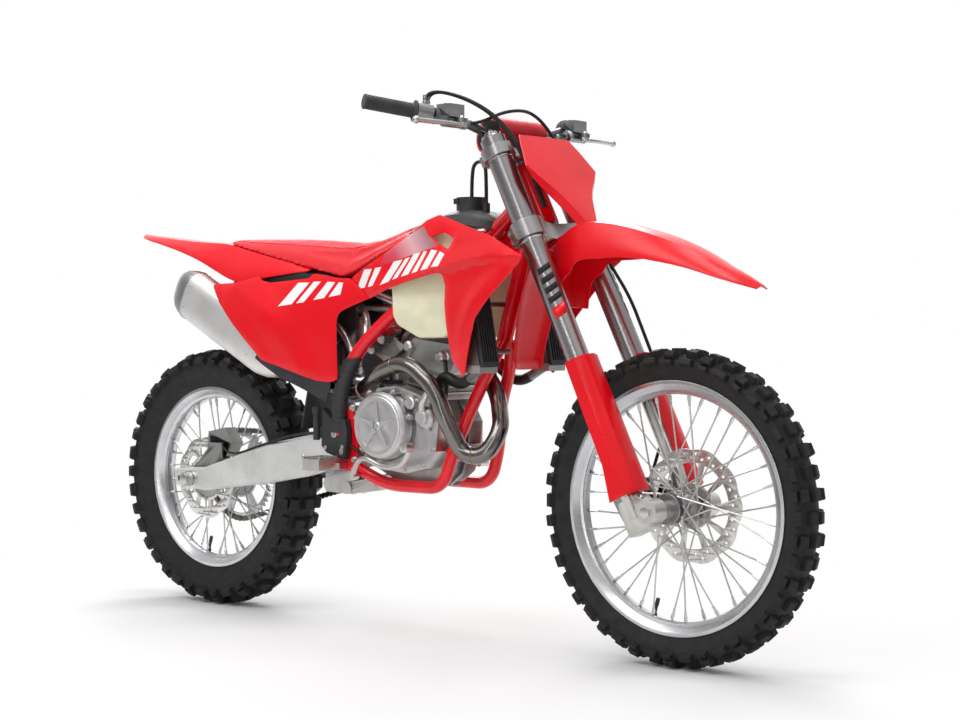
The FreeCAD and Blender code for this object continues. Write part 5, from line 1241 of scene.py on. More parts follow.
def all_hoses():
    """The held brake hose, coolant hoses, tank vent and bar cables, each on its own route."""
    brake = [fork_point(*p) for p in ((56, 103, 678.7), (56, 103, 610), (60, 128, 520), (44, 150, 430),
                                      (40, 154, 364), (40, 154, 314), (22, 160, 230), (-44, 158, 170),
                                      (-84, 124, 98), (-84, 84.3, 98))]
    hoses("front_brake_hose_curve", "front_brake_hose", [brake], [4.0])
    right = [(978, -112, 628), (944, -104, 606), (878, -98, 642), (866.2, -98, 600.7)]
    left = [(978, 112, 628), (944, 104, 606), (868, 106, 664), (868, 60.3, 664)]
    vent = [(889, 0, 1057.3), (889, 0, 1104), (898, -2, 1141), (940, -12, 1141), (946, -14, 1100),
            (946, -14, 1041.3)]
    hoses("coolant_hoses_curve", "coolant_hoses", [right, left, vent], [13.0, 13.0, 4.5])
    first, second = grip_point(-1, GRIP_IN - 24), grip_point(1, PERCH_Y)
    lines = []
    for step in (0, 9):
        start = (first[0] - 6, first[1] + step, first[2] + 22.6)
        lines.append([start, (start[0], start[1], start[2] + 34), (first[0] + 44, -170 + step, first[2] + 40),
                      fork_point(58, -100 + step, 966), fork_point(66, -72 + step, 840),
                      fork_point(60, -70 + step, 744)])
    perch = grip_point(-1, PERCH_Y)
    lines.append([(perch[0] + 44, 30.3 - PERCH_Y, perch[2] - 18), (perch[0] + 44, -150, perch[2] - 18),
                  fork_point(72, -80, 990), fork_point(64, 40, 1000), fork_point(60, 90, 900),
                  fork_point(56, 86, 800), fork_point(51, 82, 750), fork_point(51, 82, 721.3)])
    lines.append([(second[0] + 44, PERCH_Y - 34.3, second[2] - 18), (second[0] + 44, 150, second[2] - 18),
                  fork_point(62, 98, 940), fork_point(62, 62, 870), fork_point(52, 56, 744)])
    hoses("bar_cables_curve", "bar_cables", lines, [4.0] * 4)


# Fenders, plate, pad, tank and silencer


def shell_section(half, flat, drop, crown):
    """Half section of a fender as (across, down): a crowned top, a crease, and a side that ends in a lip."""
    t = np.linspace(0, 1, 9)
    top = np.stack([half * flat * t, crown * (t**2 - 1)], 1)
    s = np.linspace(0, 1, 9)[1:]
    side = np.stack([half * (flat + (1 - flat) * (1 - (1 - s)**1.5)), drop * s], 1)
    return np.concatenate([top, side])


def fender(name, node, body, stations, crown):
    """Thin shell through stations of (x, z, half width, flat share, drop, tilt), smooth along the bike."""
    table = np.array(stations, float)
    along = np.concatenate([[0], np.cumsum(np.hypot(*np.diff(table[:, :2], axis=0).T))])
    at = np.linspace(0, along[-1], 74)
    x, z, half, flat, drop, tilt = [smooth_between(along, table[:, i], at) for i in range(6)]
    rows = []
    for i in range(len(at)):
        line = shell_section(half[i], flat[i], drop[i], crown)
        across = np.concatenate([-line[:0:-1, 0], line[:, 0]])
        down = np.concatenate([line[:0:-1, 1], line[:, 1]])
        turn = math.radians(tilt[i])
        rows.append(np.stack([x[i] + down * math.sin(turn), across, z[i] - down * math.cos(turn)], 1))
    points, faces = skin(lay(rows))
    obj = add_object(name, points, faces, 24)
    face_along(obj, 2)
    thicken(obj, PANEL_WALL)
    roll_edges(obj, 1.1, 50)
    return finish_piece(name, obj, body, "red", (node,))


def rear_fender():
    """Tail that rises to a narrow tip, its wings carried forwards under the seat's lower edge."""
    stations = [(-312, 1004, 9, 0.6, 3, 0), (-300, 1002.5, 22, 0.6, 5, 0), (-270, 999, 36, 0.62, 9, 0),
                (-190, 991, 56, 0.64, 17, 0), (-64, 978, 80, 0.64, 33, 0)]
    for x, half, flat, low in ((20, 97, 0.62, 922), (98, 108, 0.6, 893), (160, 117, 0.62, 871),
                               (205, 122, 0.66, 861),
                               (290, 119, 0.74, 872), (360, 114, 0.8, 880), (440, 108, 0.86, 888)):
        crown = 966 - (x - 98) * 0.208 - 1 if x >= 98 else 978 - (x + 64) * 0.08
        stations.append((x, crown, half, flat, crown - low, 0))
    fender("rear_fender_moulded", "rear_fender", "chassis", stations, 2.0)


def front_fender():
    """Long front fender with a flat top, creased shoulders and deep sides at the fork."""
    stations = [(1172, 792, 52, 0.74, 26, 84), (1156, 868, 58, 0.74, 52, 68), (1180, 938, 62, 0.72, 84, 36),
                (1236, 978, 66, 0.7, 86, 8), (1320, 979, 70, 0.68, 78, 0), (1400, 963, 71, 0.66, 62, 0),
                (1472, 941, 69, 0.62, 50, -4), (1546, 911, 62, 0.58, 36, -6), (1616, 875, 50, 0.54, 22, -8),
                (1664, 852, 38, 0.5, 13, -9), (1696, 834, 22, 0.46, 5, -10)]
    fender("front_fender_moulded", "front_fender", "steering", stations, 4.0)
    under = 700.0 - 21.0 - 0.3
    rows = [[fork_point(ahead, y, s) for ahead, s in ((0, under - 10), (78, under - 10), (108, under - 2),
                                                      (78, under), (0, under))] for y in (-24, 24)]
    surface("front_fender_lug", [skin(rows, False, True, True)], "steering", "red")


def fender_flap():
    """Rear flap of the front fender: a tongue behind the fork that narrows and curves down between the
    radiators, its two edges folded forwards. It swings with the fork and stays inside their clearance."""
    rows = []
    for ahead, s, half in ((-6, 652, 58), (-46, 638, 70), (-90, 600, 69), (-130, 554, 66), (-168, 508, 60),
                           (-190, 476, 55), (-198, 456, 52)):
        share = np.array([-1, -0.93, -0.84, -0.4, 0, 0.4, 0.84, 0.93, 1])
        fold = np.array([9, 6, 0, -3, -4, -3, 0, 6, 9])
        rows.append([fork_point(ahead + f, half * k, s) for k, f in zip(share, fold)])
    obj = add_object("front_fender_flap", *skin(lay(rows)), smooth=50)
    thicken(obj, PANEL_WALL, 0.0)
    finish_piece("front_fender_flap", obj, "steering", "red")


def number_plate():
    """Shield with a flat face and swept sides, folded inwards below its widest level."""
    rows = []
    for s, ahead, half, face in ((675, 120, 38, 20), (700, 117, 51, 32), (749, 109, 78, 58),
                                 (775, 105, 98, 80),
                                 (800, 102, 118, 106), (826, 99, 132, 130), (880, 91, 111, 109.5),
                                 (916, 85, 93, 91.5)):
        sweep = (half - face) * 0.7
        across = np.array([-half, -(half + face) / 2, -face, -face / 2, 0, face / 2, face, (half + face) / 2,
                           half])
        ahead_of = np.array([-sweep, -sweep * 0.46, 0, 0.8, 1.0, 0.8, 0, -sweep * 0.46, -sweep]) + ahead
        rows.append([fork_point(a, y, s) for a, y in zip(ahead_of, across)])
    obj = add_object("number_plate_shield", *skin(lay(rows)), smooth=12)
    face_along(obj, 0)
    thicken(obj, PANEL_WALL)
    roll_edges(obj, 1.4, 10, 3)
    finish_piece("number_plate_shield", obj, "steering", "red", ("number_plate",))
    rows = [[fork_point(a, y, s) for a, s in ((29.3, 890), (80, 892), (80, 904), (29.3, 906))] for y in (-18,
                                                                                                         18)]
    surface("number_plate_strut", [skin(rows, False, True, True)], "steering", "black")


PAD_OUTLINE = [(-50, -8), (-42, -34), (-18, -44), (4, -30), (38, 10), (30, 36), (-6, 48), (-38, 34)]


def bar_pad():
    """Foam pad round the bar: a sewn red cover, softly swollen between its two black end faces."""
    ring = dense(rounded(PAD_OUTLINE, 16), 5)
    centre = np.array([-4.0, 2.0])
    ends = np.array([-87, -85, -80, -70, -40, 0, 40, 70, 80, 85, 87])
    grow = np.array([0.86, 0.95, 0.99, 1.0, 1.0, 1.0, 1.0, 1.0, 0.99, 0.95, 0.86])

    def section(y, share):
        flat = centre + (ring - centre) * share
        return np.stack([BAR_MIDDLE[0] + flat[:, 0], np.full(len(flat), y), BAR_MIDDLE[2] + flat[:, 1]], 1)

    rows = [section(y, share) for y, share in zip(ends, grow)]
    obj = outwards(add_object("bar_pad_cover", *skin(lay(rows), False, True, True), smooth=60))
    swell(obj, 0.004, 3.0, 2.5, lambda place: np.abs(place[:, 1]) > 84)
    obj.data.shade_smooth()
    finish_piece("bar_pad_cover", obj, "steering", "pad", ("bar_pad",))
    for side in (-1, 1):
        face = section(side * 87.4, 0.80)
        cap = skin([face - [0, side * 1.2, 0], face], False, True, True)
        surface(named("bar_pad_end", side), [cap], "steering", "foam", (), 40)


TANK_LOBE = [(738, 842), (742, 776), (758, 752), (824, 721), (902, 722), (922, 734), (930, 790), (944, 850),
             (962, 925), (952, 984), (830, 984), (828, 925), (764, 925), (744, 870)]


def tank():
    """Translucent lobes that bulge out below the shrouds, with a fold ahead, and narrow above to the
    cover."""
    for side in (-1, 1):
        lobe = plate("tank_lobe", [rounded(TANK_LOBE, 9)], 99.0, 126.0, 7.0, 40)
        place = places(lobe.data) / MM + SEAT_LOW
        out = place[:, 1] - 99
        squeeze = np.interp(place[:, 2], [721, 760, 850, 930, 984], [0.86, 1.0, 1.0, 0.6, 0.12])
        squeeze = squeeze * np.interp(place[:, 0], [736, 760, 880, 935], [0.86, 1.0, 1.0, 0.55])
        place[:, 1] = side * (99 + out * squeeze)
        put(lobe.data, lay(place))
        outwards(lobe)
        finish_piece(named("tank_lobe", side), lobe, "chassis", "tank",
                     ("fuel_tank",) if side < 0 else ())
    middle = plate("tank_bridge", [rounded([(830, 930), (950, 930), (950, 975), (830, 975)], 8)], -99.0,
                   99.0, 2.0)
    finish_piece("tank_bridge", middle, "chassis", "tank")


CAN_STEPS = [(-27, 0.30, 0.34), (-30, 0.34, 0.37), (-31, 0.42, 0.44), (-29, 0.60, 0.60), (-24, 0.74, 0.73),
             (-14, 0.87, 0.86), (-2, 0.95, 0.95), (8, 0.985, 0.985), (14, 1.0, 1.0)]


def silencer():
    """Silencer with a rounded rectangular section: a drawn end cap with its outlet, and the riveted body."""
    angle = (np.arange(48) + 0.5) * 2 * math.pi / 48
    c, s = np.cos(angle), np.sin(angle)
    across = np.sign(c) * np.abs(c)**0.72
    over = np.sign(s) * np.abs(s)**0.72

    def ring(x, wide, tall):
        z = 834 - (x - 8) * 0.505
        up = over * 66 * tall
        return np.stack([x + up * 0.42, -110 + across * 41 * wide, z + up * 0.9], 1)

    body = [ring(x, w, t) for x, w, t in ((15.2, 0.97, 0.97), (15.4, 1.0, 1.0), (30, 1.0, 1.0),
                                          (150, 1.0, 1.02),
                                          (280, 1.0, 1.04), (300, 0.99, 1.02), (330, 0.86, 0.9),
                                          (352, 0.7, 0.72),
                                          (360, 0.5, 0.5))]
    surface("silencer_body", [skin(body, False, True, True)], "chassis", "can", ("silencer",), 50)
    cap = [ring(x, 0.30, 0.34) for x in (20, -10)] + [ring(x, w, t) for x, w, t in CAN_STEPS]
    surface("silencer_cap", [skin(cap, False, True)], "chassis", "can_cap", (), 40)
    plug = [ring(x, 0.30, 0.34) for x in (19, 21)]
    surface("silencer_core", [skin(plug, False, True, True)], "chassis", "caliper", (), 40)
    seam = [ring(x, grow, grow) for x, grow in ((12.5, 1.0), (13.2, 1.018), (16.8, 1.018), (17.5, 1.0))]
    surface("silencer_band", [skin(seam, True, True)], "chassis", "can_cap", (), 40)
    rivets = []
    for x in (26, 268):
        here = ring(x, 1.0, 1.0)
        middle = here.mean(0)
        for i in range(2, 48, 6):
            head = [(3.0, -0.5), (3.0, 0.5), (2.0, 1.4), (0.01, 1.6)]
            rivets.append(skin(turned(head, here[i], here[i] - middle, 10), False, True))
    bolt_piece("silencer_rivets", rivets, "chassis")
    tab = [[(x, y, z) for y, z in ((-116, low), (-104, low), (-104, high), (-116, high))]
           for x, low, high in ((148, 810, 842), (178, 804, 838))]
    surface("silencer_tab", [skin(tab, False, True, True)], "chassis", "steel")
    rods("silencer_link", [([(163, -108, 838), (163, -64, 932)], 6.0)], "chassis", "black", 12)


# Shock


def shock():
    """Shock with its helical spring between two collars, a body with a reservoir, and the shaft below."""
    top, foot = np.array([496.0, 0, 770]), np.array([474.0, 0, 400])
    upper, lower = np.array([489.5, 0, 628]), np.array([484.0, 0, 480])
    axis = (lower - upper) / np.linalg.norm(lower - upper)
    length = np.linalg.norm(lower - upper)
    side = np.array([-axis[2], 0, axis[0]])
    turns, wire, mean = 7.0, 5.5, 25.5
    t = np.linspace(0, 1, 240)
    rise = np.clip(t * 1.06 - 0.03, 0, 1)
    angle = t * turns * 2 * math.pi
    coil = upper + np.outer(4 + rise * (length - 8), axis) \
        + mean * (np.outer(np.cos(angle), side) + np.outer(np.sin(angle), [0, 1.0, 0]))
    spring = skin(tube_points(coil, wire, 12), False, True, True)
    surface("shock_spring", [spring], "chassis", "spring", ("shock",), 40)
    body_axis = (upper - top) / np.linalg.norm(upper - top)
    size = np.linalg.norm(upper - top)
    profile = [(0.01, -2), (22, -2), (29, 4), (30, 10), (30, size - 22), (33, size - 20), (33, size - 4),
               (31, size),
               (0.01, size)]
    lathe("shock_body", [(profile, top, body_axis, 40)], "chassis", "machined")
    neck = turned([(0.01, 0), (13, 0), (13, 36), (0.01, 36)], (500, 0, 800), (-4, 0, -30), 24)
    cup = turned([(0.01, 0), (33, 0), (33, 8), (24, 12), (10, 12), (10, 76), (13, 78), (0.01, 80)], lower,
                 axis, 36)
    eye = turned([(0.01, -14), (14, -14), (14, 14), (0.01, 14)], foot, (0, 1, 0), 28)
    head = turned([(0.01, -13.7), (15, -13.7), (15, 13.7), (0.01, 13.7)], (500, 0, 800), (0, 1, 0), 28)
    rod = turned([(0.01, -6), (10, -6), (10, length + 10), (0.01, length + 10)], upper, axis, 24)
    ends = [skin(points, False, True) for points in (neck, cup, eye, head, rod)]
    surface("shock_ends", ends, "chassis", "steel")


# Engine, fork and bar details
CLUTCH_X, CLUTCH_Z = 717.0, 510.0


def lathe(name, parts, body, finish):
    """One piece from several turned profiles, each (profile, centre, axis, sides)."""
    made = [skin(turned(profile, centre, axis, sides), False, True) for profile, centre, axis, sides in parts]
    return surface(name, made, body, finish)


def rods(name, runs, body, finish, sides=16):
    """One piece from several round rods, each (points, radius)."""
    parts = [skin(tube_points(points, radius, sides), False, True, True) for points, radius in runs]
    return surface(name, parts, body, finish, (), 40)


def engine_details():
    """Bolts, the clutch cover's rim and seal, the head's fittings, the starter, lines and the throttle
    body."""
    cx, cz = CLUTCH_X, CLUTCH_Z
    lathe("clutch_cover_rim", [([(84.6, -112.5), (86.0, -112), (86.0, -109.5), (84.6, -109)], (cx, 0, cz), Y,
                                72)],
          "chassis", "caliper")
    lathe("clutch_cover_face", [([(60, -149.8), (61, -151.6), (69, -151.8), (72, -149.8)], (cx, 0, cz), Y,
                                 72),
                                ([(0.01, -153.4), (8, -153.4), (10, -152), (10, -149.5)], (cx, 0, cz), Y,
                                 32)],
          "chassis", "cover")
    bolts = []
    for i in range(7):
        angle = 2 * math.pi * (i + 0.3) / 7
        spot = (cx + 88 * math.cos(angle), -132, cz + 88 * math.sin(angle))
        bolts.append(hex_head(spot, -Y, 5.0, 6.0))
    for x, z in ((634, 470), (646, 434), (692, 412), (768, 404), (828, 416), (860, 456), (868, 536),
                 (800, 582),
                 (742, 598), (680, 590), (640, 552)):
        bolts.append(hex_head((x, -108, z), -Y, 4.6, 6.0))
    for angle in np.arange(5) * 2 * math.pi / 5:
        bolts.append(bolt_head((842 + 33 * math.cos(angle), -108, 534 + 33 * math.sin(angle)), -Y, 4.4, 5.0))
        bolts.append(bolt_head((776 + 62 * math.cos(angle), 72, 480 + 62 * math.sin(angle)), Y, 4.4, 5.0))
    for side in (-1, 1):
        for x, z in ((644, 691), (678, 716)):
            bolts.append(hex_head((x, side * 92, z), side * Y, 8.0, 8.0))
        bolts.append(hex_head((566, side * 110, 440), side * Y, 12.0, 9.0))
        bolts.append(hex_head((896, side * 80, 452), side * Y, 8.0, 8.0))
        bolts.append(hex_head((590, side * 102, 548), side * Y, 7.0, 7.0))
        bolts.append(hex_head((596, side * 102, 420), side * Y, 7.0, 7.0))
        for x, z in ((772, 716), (854, 704), (814, 711)):
            bolts.append(hex_head((x, side * 44, z + 26), side * Y * 0.5 + Z * 0.86, 5.0, 7.0))
    bolt_piece("engine_bolts", bolts, "chassis")
    up = np.array([0.17, 0, 0.98])
    lathe("spark_plug_cap", [([(0.01, -30), (13, -30), (14, -6), (11, 0), (11, 22), (15, 26), (15, 40),
                               (0.01, 42)],
                              (806, -8, 752), up, 24)], "chassis", "hose")
    rods("engine_lines", [(spline_line([(806, -8, 788), (800, -30, 812), (760, -46, 800), (716, -60, 770)]),
                           4.0),
                          (spline_line([(858, -66, 560), (884, -86, 590), (880, -84, 640), (862, -68, 676)]),
                           5.0),
                          (spline_line([(700, -70, 600), (690, -84, 640), (720, -80, 680), (744, -64, 700)]),
                           4.5),
                          (spline_line([(640, -70, 590), (660, -92, 620), (700, -86, 612), (730, -70, 616)]),
                           5.0)],
         "chassis", "hose", 12)
    lathe("engine_fittings",
          [([(0.01, 0), (16, 0), (16, 8), (13, 10), (13, 26), (9, 30), (0.01, 30)], (858, -60, 676), -Y, 24),
           ([(0.01, 0), (14, 0), (14, 12), (9, 15), (0.01, 15)], (744, -60, 700), -Y, 24),
           ([(0.01, 0), (24, 0), (26, 3), (26, 42), (22, 48), (0.01, 48)], (690, -30, 612),
            -Y * 0.98 + Z * 0.2, 32),
           ([(0.01, 0), (12, 0), (12, 8), (15, 9), (15, 18), (12, 20), (0.01, 20)], (800, -108, 566), -Y, 24),
           ([(0.01, 0), (18, 0), (18, 5), (15, 8), (0.01, 8)], (842, -128, 534), -Y, 28)],
          "chassis", "cover")
    lathe("throttle_body",
          [([(0.01, 0), (31, 0), (31, 14), (26, 18), (26, 46), (30, 50), (30, 66), (0.01, 68)], (700, 0, 712),
            (-0.9, 0, 0.42), 32),
           ([(0.01, -46), (15, -46), (15, 46), (0.01, 46)], (668, 0, 730), Y, 24)],
          "chassis", "caliper")
    rods("coolant_elbow", [(spline_line([(842, -126, 544), (850, -140, 566), (866, -134, 592),
                                         (872, -118, 618)]), 9.0)],
         "chassis", "steel", 20)
    flange = [hex_head((899 + 20 * c, s * 31, 677 - 18 * c), (0.75, 0, -0.66), 5.0, 9.0) for c in (0.5, -0.5)
              for s in (-1, 1)]
    bolt_piece("exhaust_nuts", flange, "chassis")
    clamp = [([(20.5, -5), (22.3, -4.4), (22.3, 4.4), (20.5, 5)], (596, -72, 592), (-0.87, 0.3, -0.3), 28)]
    lathe("exhaust_clamp", clamp, "chassis", "steel")


def weld_beads():
    """Rings of weld round the header where its bent lengths meet."""
    points = [(903.2, 0, 672.4), (972, -2, 592), (1030, -60, 508), (1006, -92, 446), (948, -102, 448),
              (916, -128, 530), (888, -135, 604), (800, -138, 668), (704, -126, 640), (628, -84, 604)]
    beads = []
    for i, share in ((0, 0.6), (3, 0.5), (7, 0.42)):
        a, b = np.array(points[i]), np.array(points[i + 1])
        beads.append(([(20.1, -2.2), (20.9, -1.2), (21.1, 0), (20.9, 1.2), (20.1, 2.2)], a + (b - a) * share,
                      b - a, 40))
    lathe("header_weld_beads", beads, "chassis", "weld")


def fork_details():
    """Fork caps, pinch bolts, axle clamp bolts, dust seals and the generic bands on the legs."""
    caps, bolts, seals = [], [], []
    for side in (-1, 1):
        y = side * 107.0
        caps.append(([(27, 0), (27, 5), (24, 8), (24, 12), (15, 12.5), (15, 20), (11, 22), (0.01, 22)],
                     fork_point(22, y, 934), FORK_UP, 40))
        caps.append(([(0.01, 0), (5, 0), (5, 5), (0.01, 6)], fork_point(22, y, 956), FORK_UP, 12))
        caps.append(([(29.8, -3), (31.4, -2), (31.4, 2), (29.8, 3)], fork_point(22, y, 884), FORK_UP, 40))
        caps.append(([(29.8, -3), (31.4, -2), (31.4, 2), (29.8, 3)], fork_point(22, y, 674), FORK_UP, 40))
        seals.append(([(24.2, -6), (27.6, -5), (28.4, 0), (28.0, 8), (27.2, 9)], fork_point(22, y, 364),
                      FORK_UP, 40))
        for s in (690, 710, 900):
            bolts.append(bolt_head(fork_point(-18, y + side * 12, s), side * Y, 5.2, 7.0))
            bolts.append(bolt_head(fork_point(-18, y - side * 12, s), -side * Y, 5.2, 7.0))
        for ahead in (40, 52):
            bolts.append(bolt_head(fork_point(ahead, y - 10, 44 if ahead == 40 else 34), FORK_UP, 5.0, 6.0))
        bolts.append(bolt_head(fork_point(18, side * 138, 100), side * Y, 7.0, 6.0))
        bolts.append(hex_head(fork_point(34, side * 135, 330), side * Y, 5.0, 5.0))
        bolts.append(hex_head(fork_point(55, side * 129, 0), side * Y, 13.0, 5.0))
        for y2 in (-46, 46):
            bolts.append(bolt_head(fork_point(6.5 + side * 19, y2, 975), FORK_UP, 4.6, 6.0))
    lathe("fork_caps", caps, "steering", "polished")
    lathe("fork_seals", seals, "steering", "hose")
    bolt_piece("fork_bolts", bolts, "steering")
    bands = {"foam": ((598, 612), (574, 588), (550, 564), (526, 540)), "red": ((488, 514),)}
    for finish, spans in bands.items():
        parts = []
        for side in (-1, 1):
            for low, high in spans:
                angle = np.radians(np.linspace(-86, -14, 14)) * -side
                rows = []
                for s in (low, high):
                    rows.append([fork_point(22 + 27.25 * math.cos(a), side * 107 + 27.25 * math.sin(a),
                                            s - 12 * math.sin(a) * side)
                                 for a in angle])
                parts.append(skin(np.array(rows)))
        verts, faces = join(parts)
        obj = add_object("fork_bands", lay(verts), faces, 60)
        bm = bmesh.new()
        bm.from_mesh(obj.data)
        for face in bm.faces:
            middle = face.calc_center_median()
            out = middle - Vector(lay(fork_point(LEG_AHEAD, math.copysign(LEG_Y, middle.y), 520)))
            out -= Vector(FORK_UP) * out.dot(Vector(FORK_UP))
            if face.normal.dot(out) < 0:
                face.normal_flip()
        bm.to_mesh(obj.data)
        bm.free()
        thicken(obj, 0.2, 1.0)
        finish_piece("fork_bands_" + ("black" if finish == "foam" else "red"), obj, "steering", finish)


def grips():
    """Ribbed grips with a flange inside and a closed end outside, over the bar's ends."""
    for side in (-1, 1):
        start, end = grip_point(side, GRIP_IN), grip_point(side, 384)
        length = np.linalg.norm(end - start)
        profile = [(13, 0), (24, 0), (25, 1.5), (25, 3), (22, 5), (17.2, 7)]
        for k in np.arange(9, length - 8, 4.6):
            profile += [(16.0, k), (16.0, k + 1.4), (16.9, k + 2.0), (16.9, k + 3.8), (16.0, k + 4.4)]
        profile += [(17.2, length - 5), (17.4, length - 2), (16, length), (0.01, length + 0.5)]
        sleeve = skin(turned(profile, start, end - start, 36), False, True)
        surface(named("grip", side), [sleeve], "steering", "grip", ("grips",) if side < 0 else (),
                35)


def bar_details():
    """Screws of the reservoirs' lids, lever pivots, adjusters, banjo bolts and the throttle's cable
    elbows."""
    bolts, knobs = [], []
    for side in (-1, 1):
        x, y, z = grip_point(side, PERCH_Y)
        for dy in (-18, 18):
            bolts.append(bolt_head((x + 36, y + dy, z + 21.5), Z, 3.4, 3.0))
        bolts.append(hex_head((x + 70, y, z - 11), Z, 6.0, 5.0))
        bolts.append(bolt_head((x - 12, y - 4, z - 14), (-0.6, 0, -0.8), 4.0, 5.0))
        knobs.append(([(13.4, 0), (14.6, 1), (14.6, 9), (9, 12), (9, 20), (0.01, 21)],
                      (x + 44, y - side * 30, z - 18),
                      -side * Y, 24))
        knobs.append(([(0.01, -3), (5.5, -3), (5.5, 12), (4, 14), (0.01, 14)],
                      (x + 62, y + side * 22, z - 24),
                      (0.3, side * 0.9, 0), 14))
    x, y, z = grip_point(-1, GRIP_IN - 24)
    for dy in (0, 9):
        knobs.append(([(0.01, -8), (6.2, -8), (6.2, 6), (5, 8), (5, 20), (0.01, 20)],
                      (x - 6, y + dy, z + 22), Z, 16))
    bolt_piece("bar_bolts", bolts, "steering")
    lathe("bar_fittings", knobs, "steering", "bracket")


def body_screws():
    """Screws of the panels, guards and pegs, the ribs of the frame guards, and the dark grille in the
    vent."""
    bolts = []
    for side in (-1, 1):
        for x, z, r in ((516, 448, 5.0), (574, 452, 5.0), (546, 482, 9.0)):
            bolts.append(bolt_head((x, side * 121.5, z), side * Y, r, 4.0))
        grille = plate("vent_grille", [[(266, 858), (272, 878), (336, 880), (420, 888), (452, 874),
                                        (448, 858)]],
                       104.0, 107.0, 0.5)
        if side < 0:
            put(grille.data, places(grille.data) * [1, -1, 1])
            outwards(grille)
        finish_piece(named("vent_grille", side), grille, "chassis", "black")
        ribs = []
        for z in np.arange(500, 664, 13.0):
            x = np.interp(z, [480, 590, 686], [552, 553, 606])
            y = np.interp(z, [480, 590, 686], [108, 108, 104])
            ribs.append(([(20.6, -2.0), (21.7, -1.2), (21.7, 1.2), (20.6, 2.0)], (x, side * y, z),
                         (np.interp(z, [560, 620], [0.0, 0.45]), 0, 0.9), 28))
        lathe(named("frame_guard_ribs", side), ribs, "chassis", "black")
        teeth = []
        for x in np.arange(511, 562, 8.0):
            for edge in (131, 191):
                teeth.append(block_points((x, side * edge, 424), X, Y, Z, (5, 5, 6), 1.2, 0.8))
        for y in np.arange(139, 190, 8.0):
            for edge in (511, 561):
                teeth.append(block_points((edge, side * y, 424), X, Y, Z, (5, 5, 6), 1.2, 0.8))
        surface(named("peg_teeth", side), teeth, "chassis", "steel")
    bolt_piece("body_screws", bolts, "chassis")


def swingarm_details():
    """Axle adjusters, the chain's slider and guide, and the brake line's clips on the swingarm."""
    bolts = []
    for side in (-1, 1):
        bolts.append(hex_head((0, side * 134, 342), side * Y, 15.0, 6.0))
        bolts.append(hex_head((-57, side * 106, 342), -X, 6.0, 10.0))
        bolts.append(hex_head((420, side * 104, 420), side * Y, 6.0, 5.0))
    bolt_piece("swingarm_bolts", bolts, "chassis")
    guide = plate("chain_guide", [[(214, 300), (262, 296), (300, 322), (300, 352), (250, 352), (214, 336)],
                                  [(228, 316), (284, 320), (286, 338), (228, 332)]], 56.0, 84.0, 1.5)
    finish_piece("chain_guide", guide, "chassis", "black")
    slider = [(392, 66, 480), (470, 66, 487), (540, 66, 480), (584, 66, 462)]
    rods("chain_slider", [(spline_line(slider), 4.5)], "chassis", "black", 10)
    line = [(640, -100, 420), (560, -112, 480), (420, -112, 482), (280, -110, 446), (140, -108, 404),
            (100, -90, 436)]
    rods("rear_brake_line", [(spline_line(line), 3.0)], "chassis", "hose", 10)


# Stage


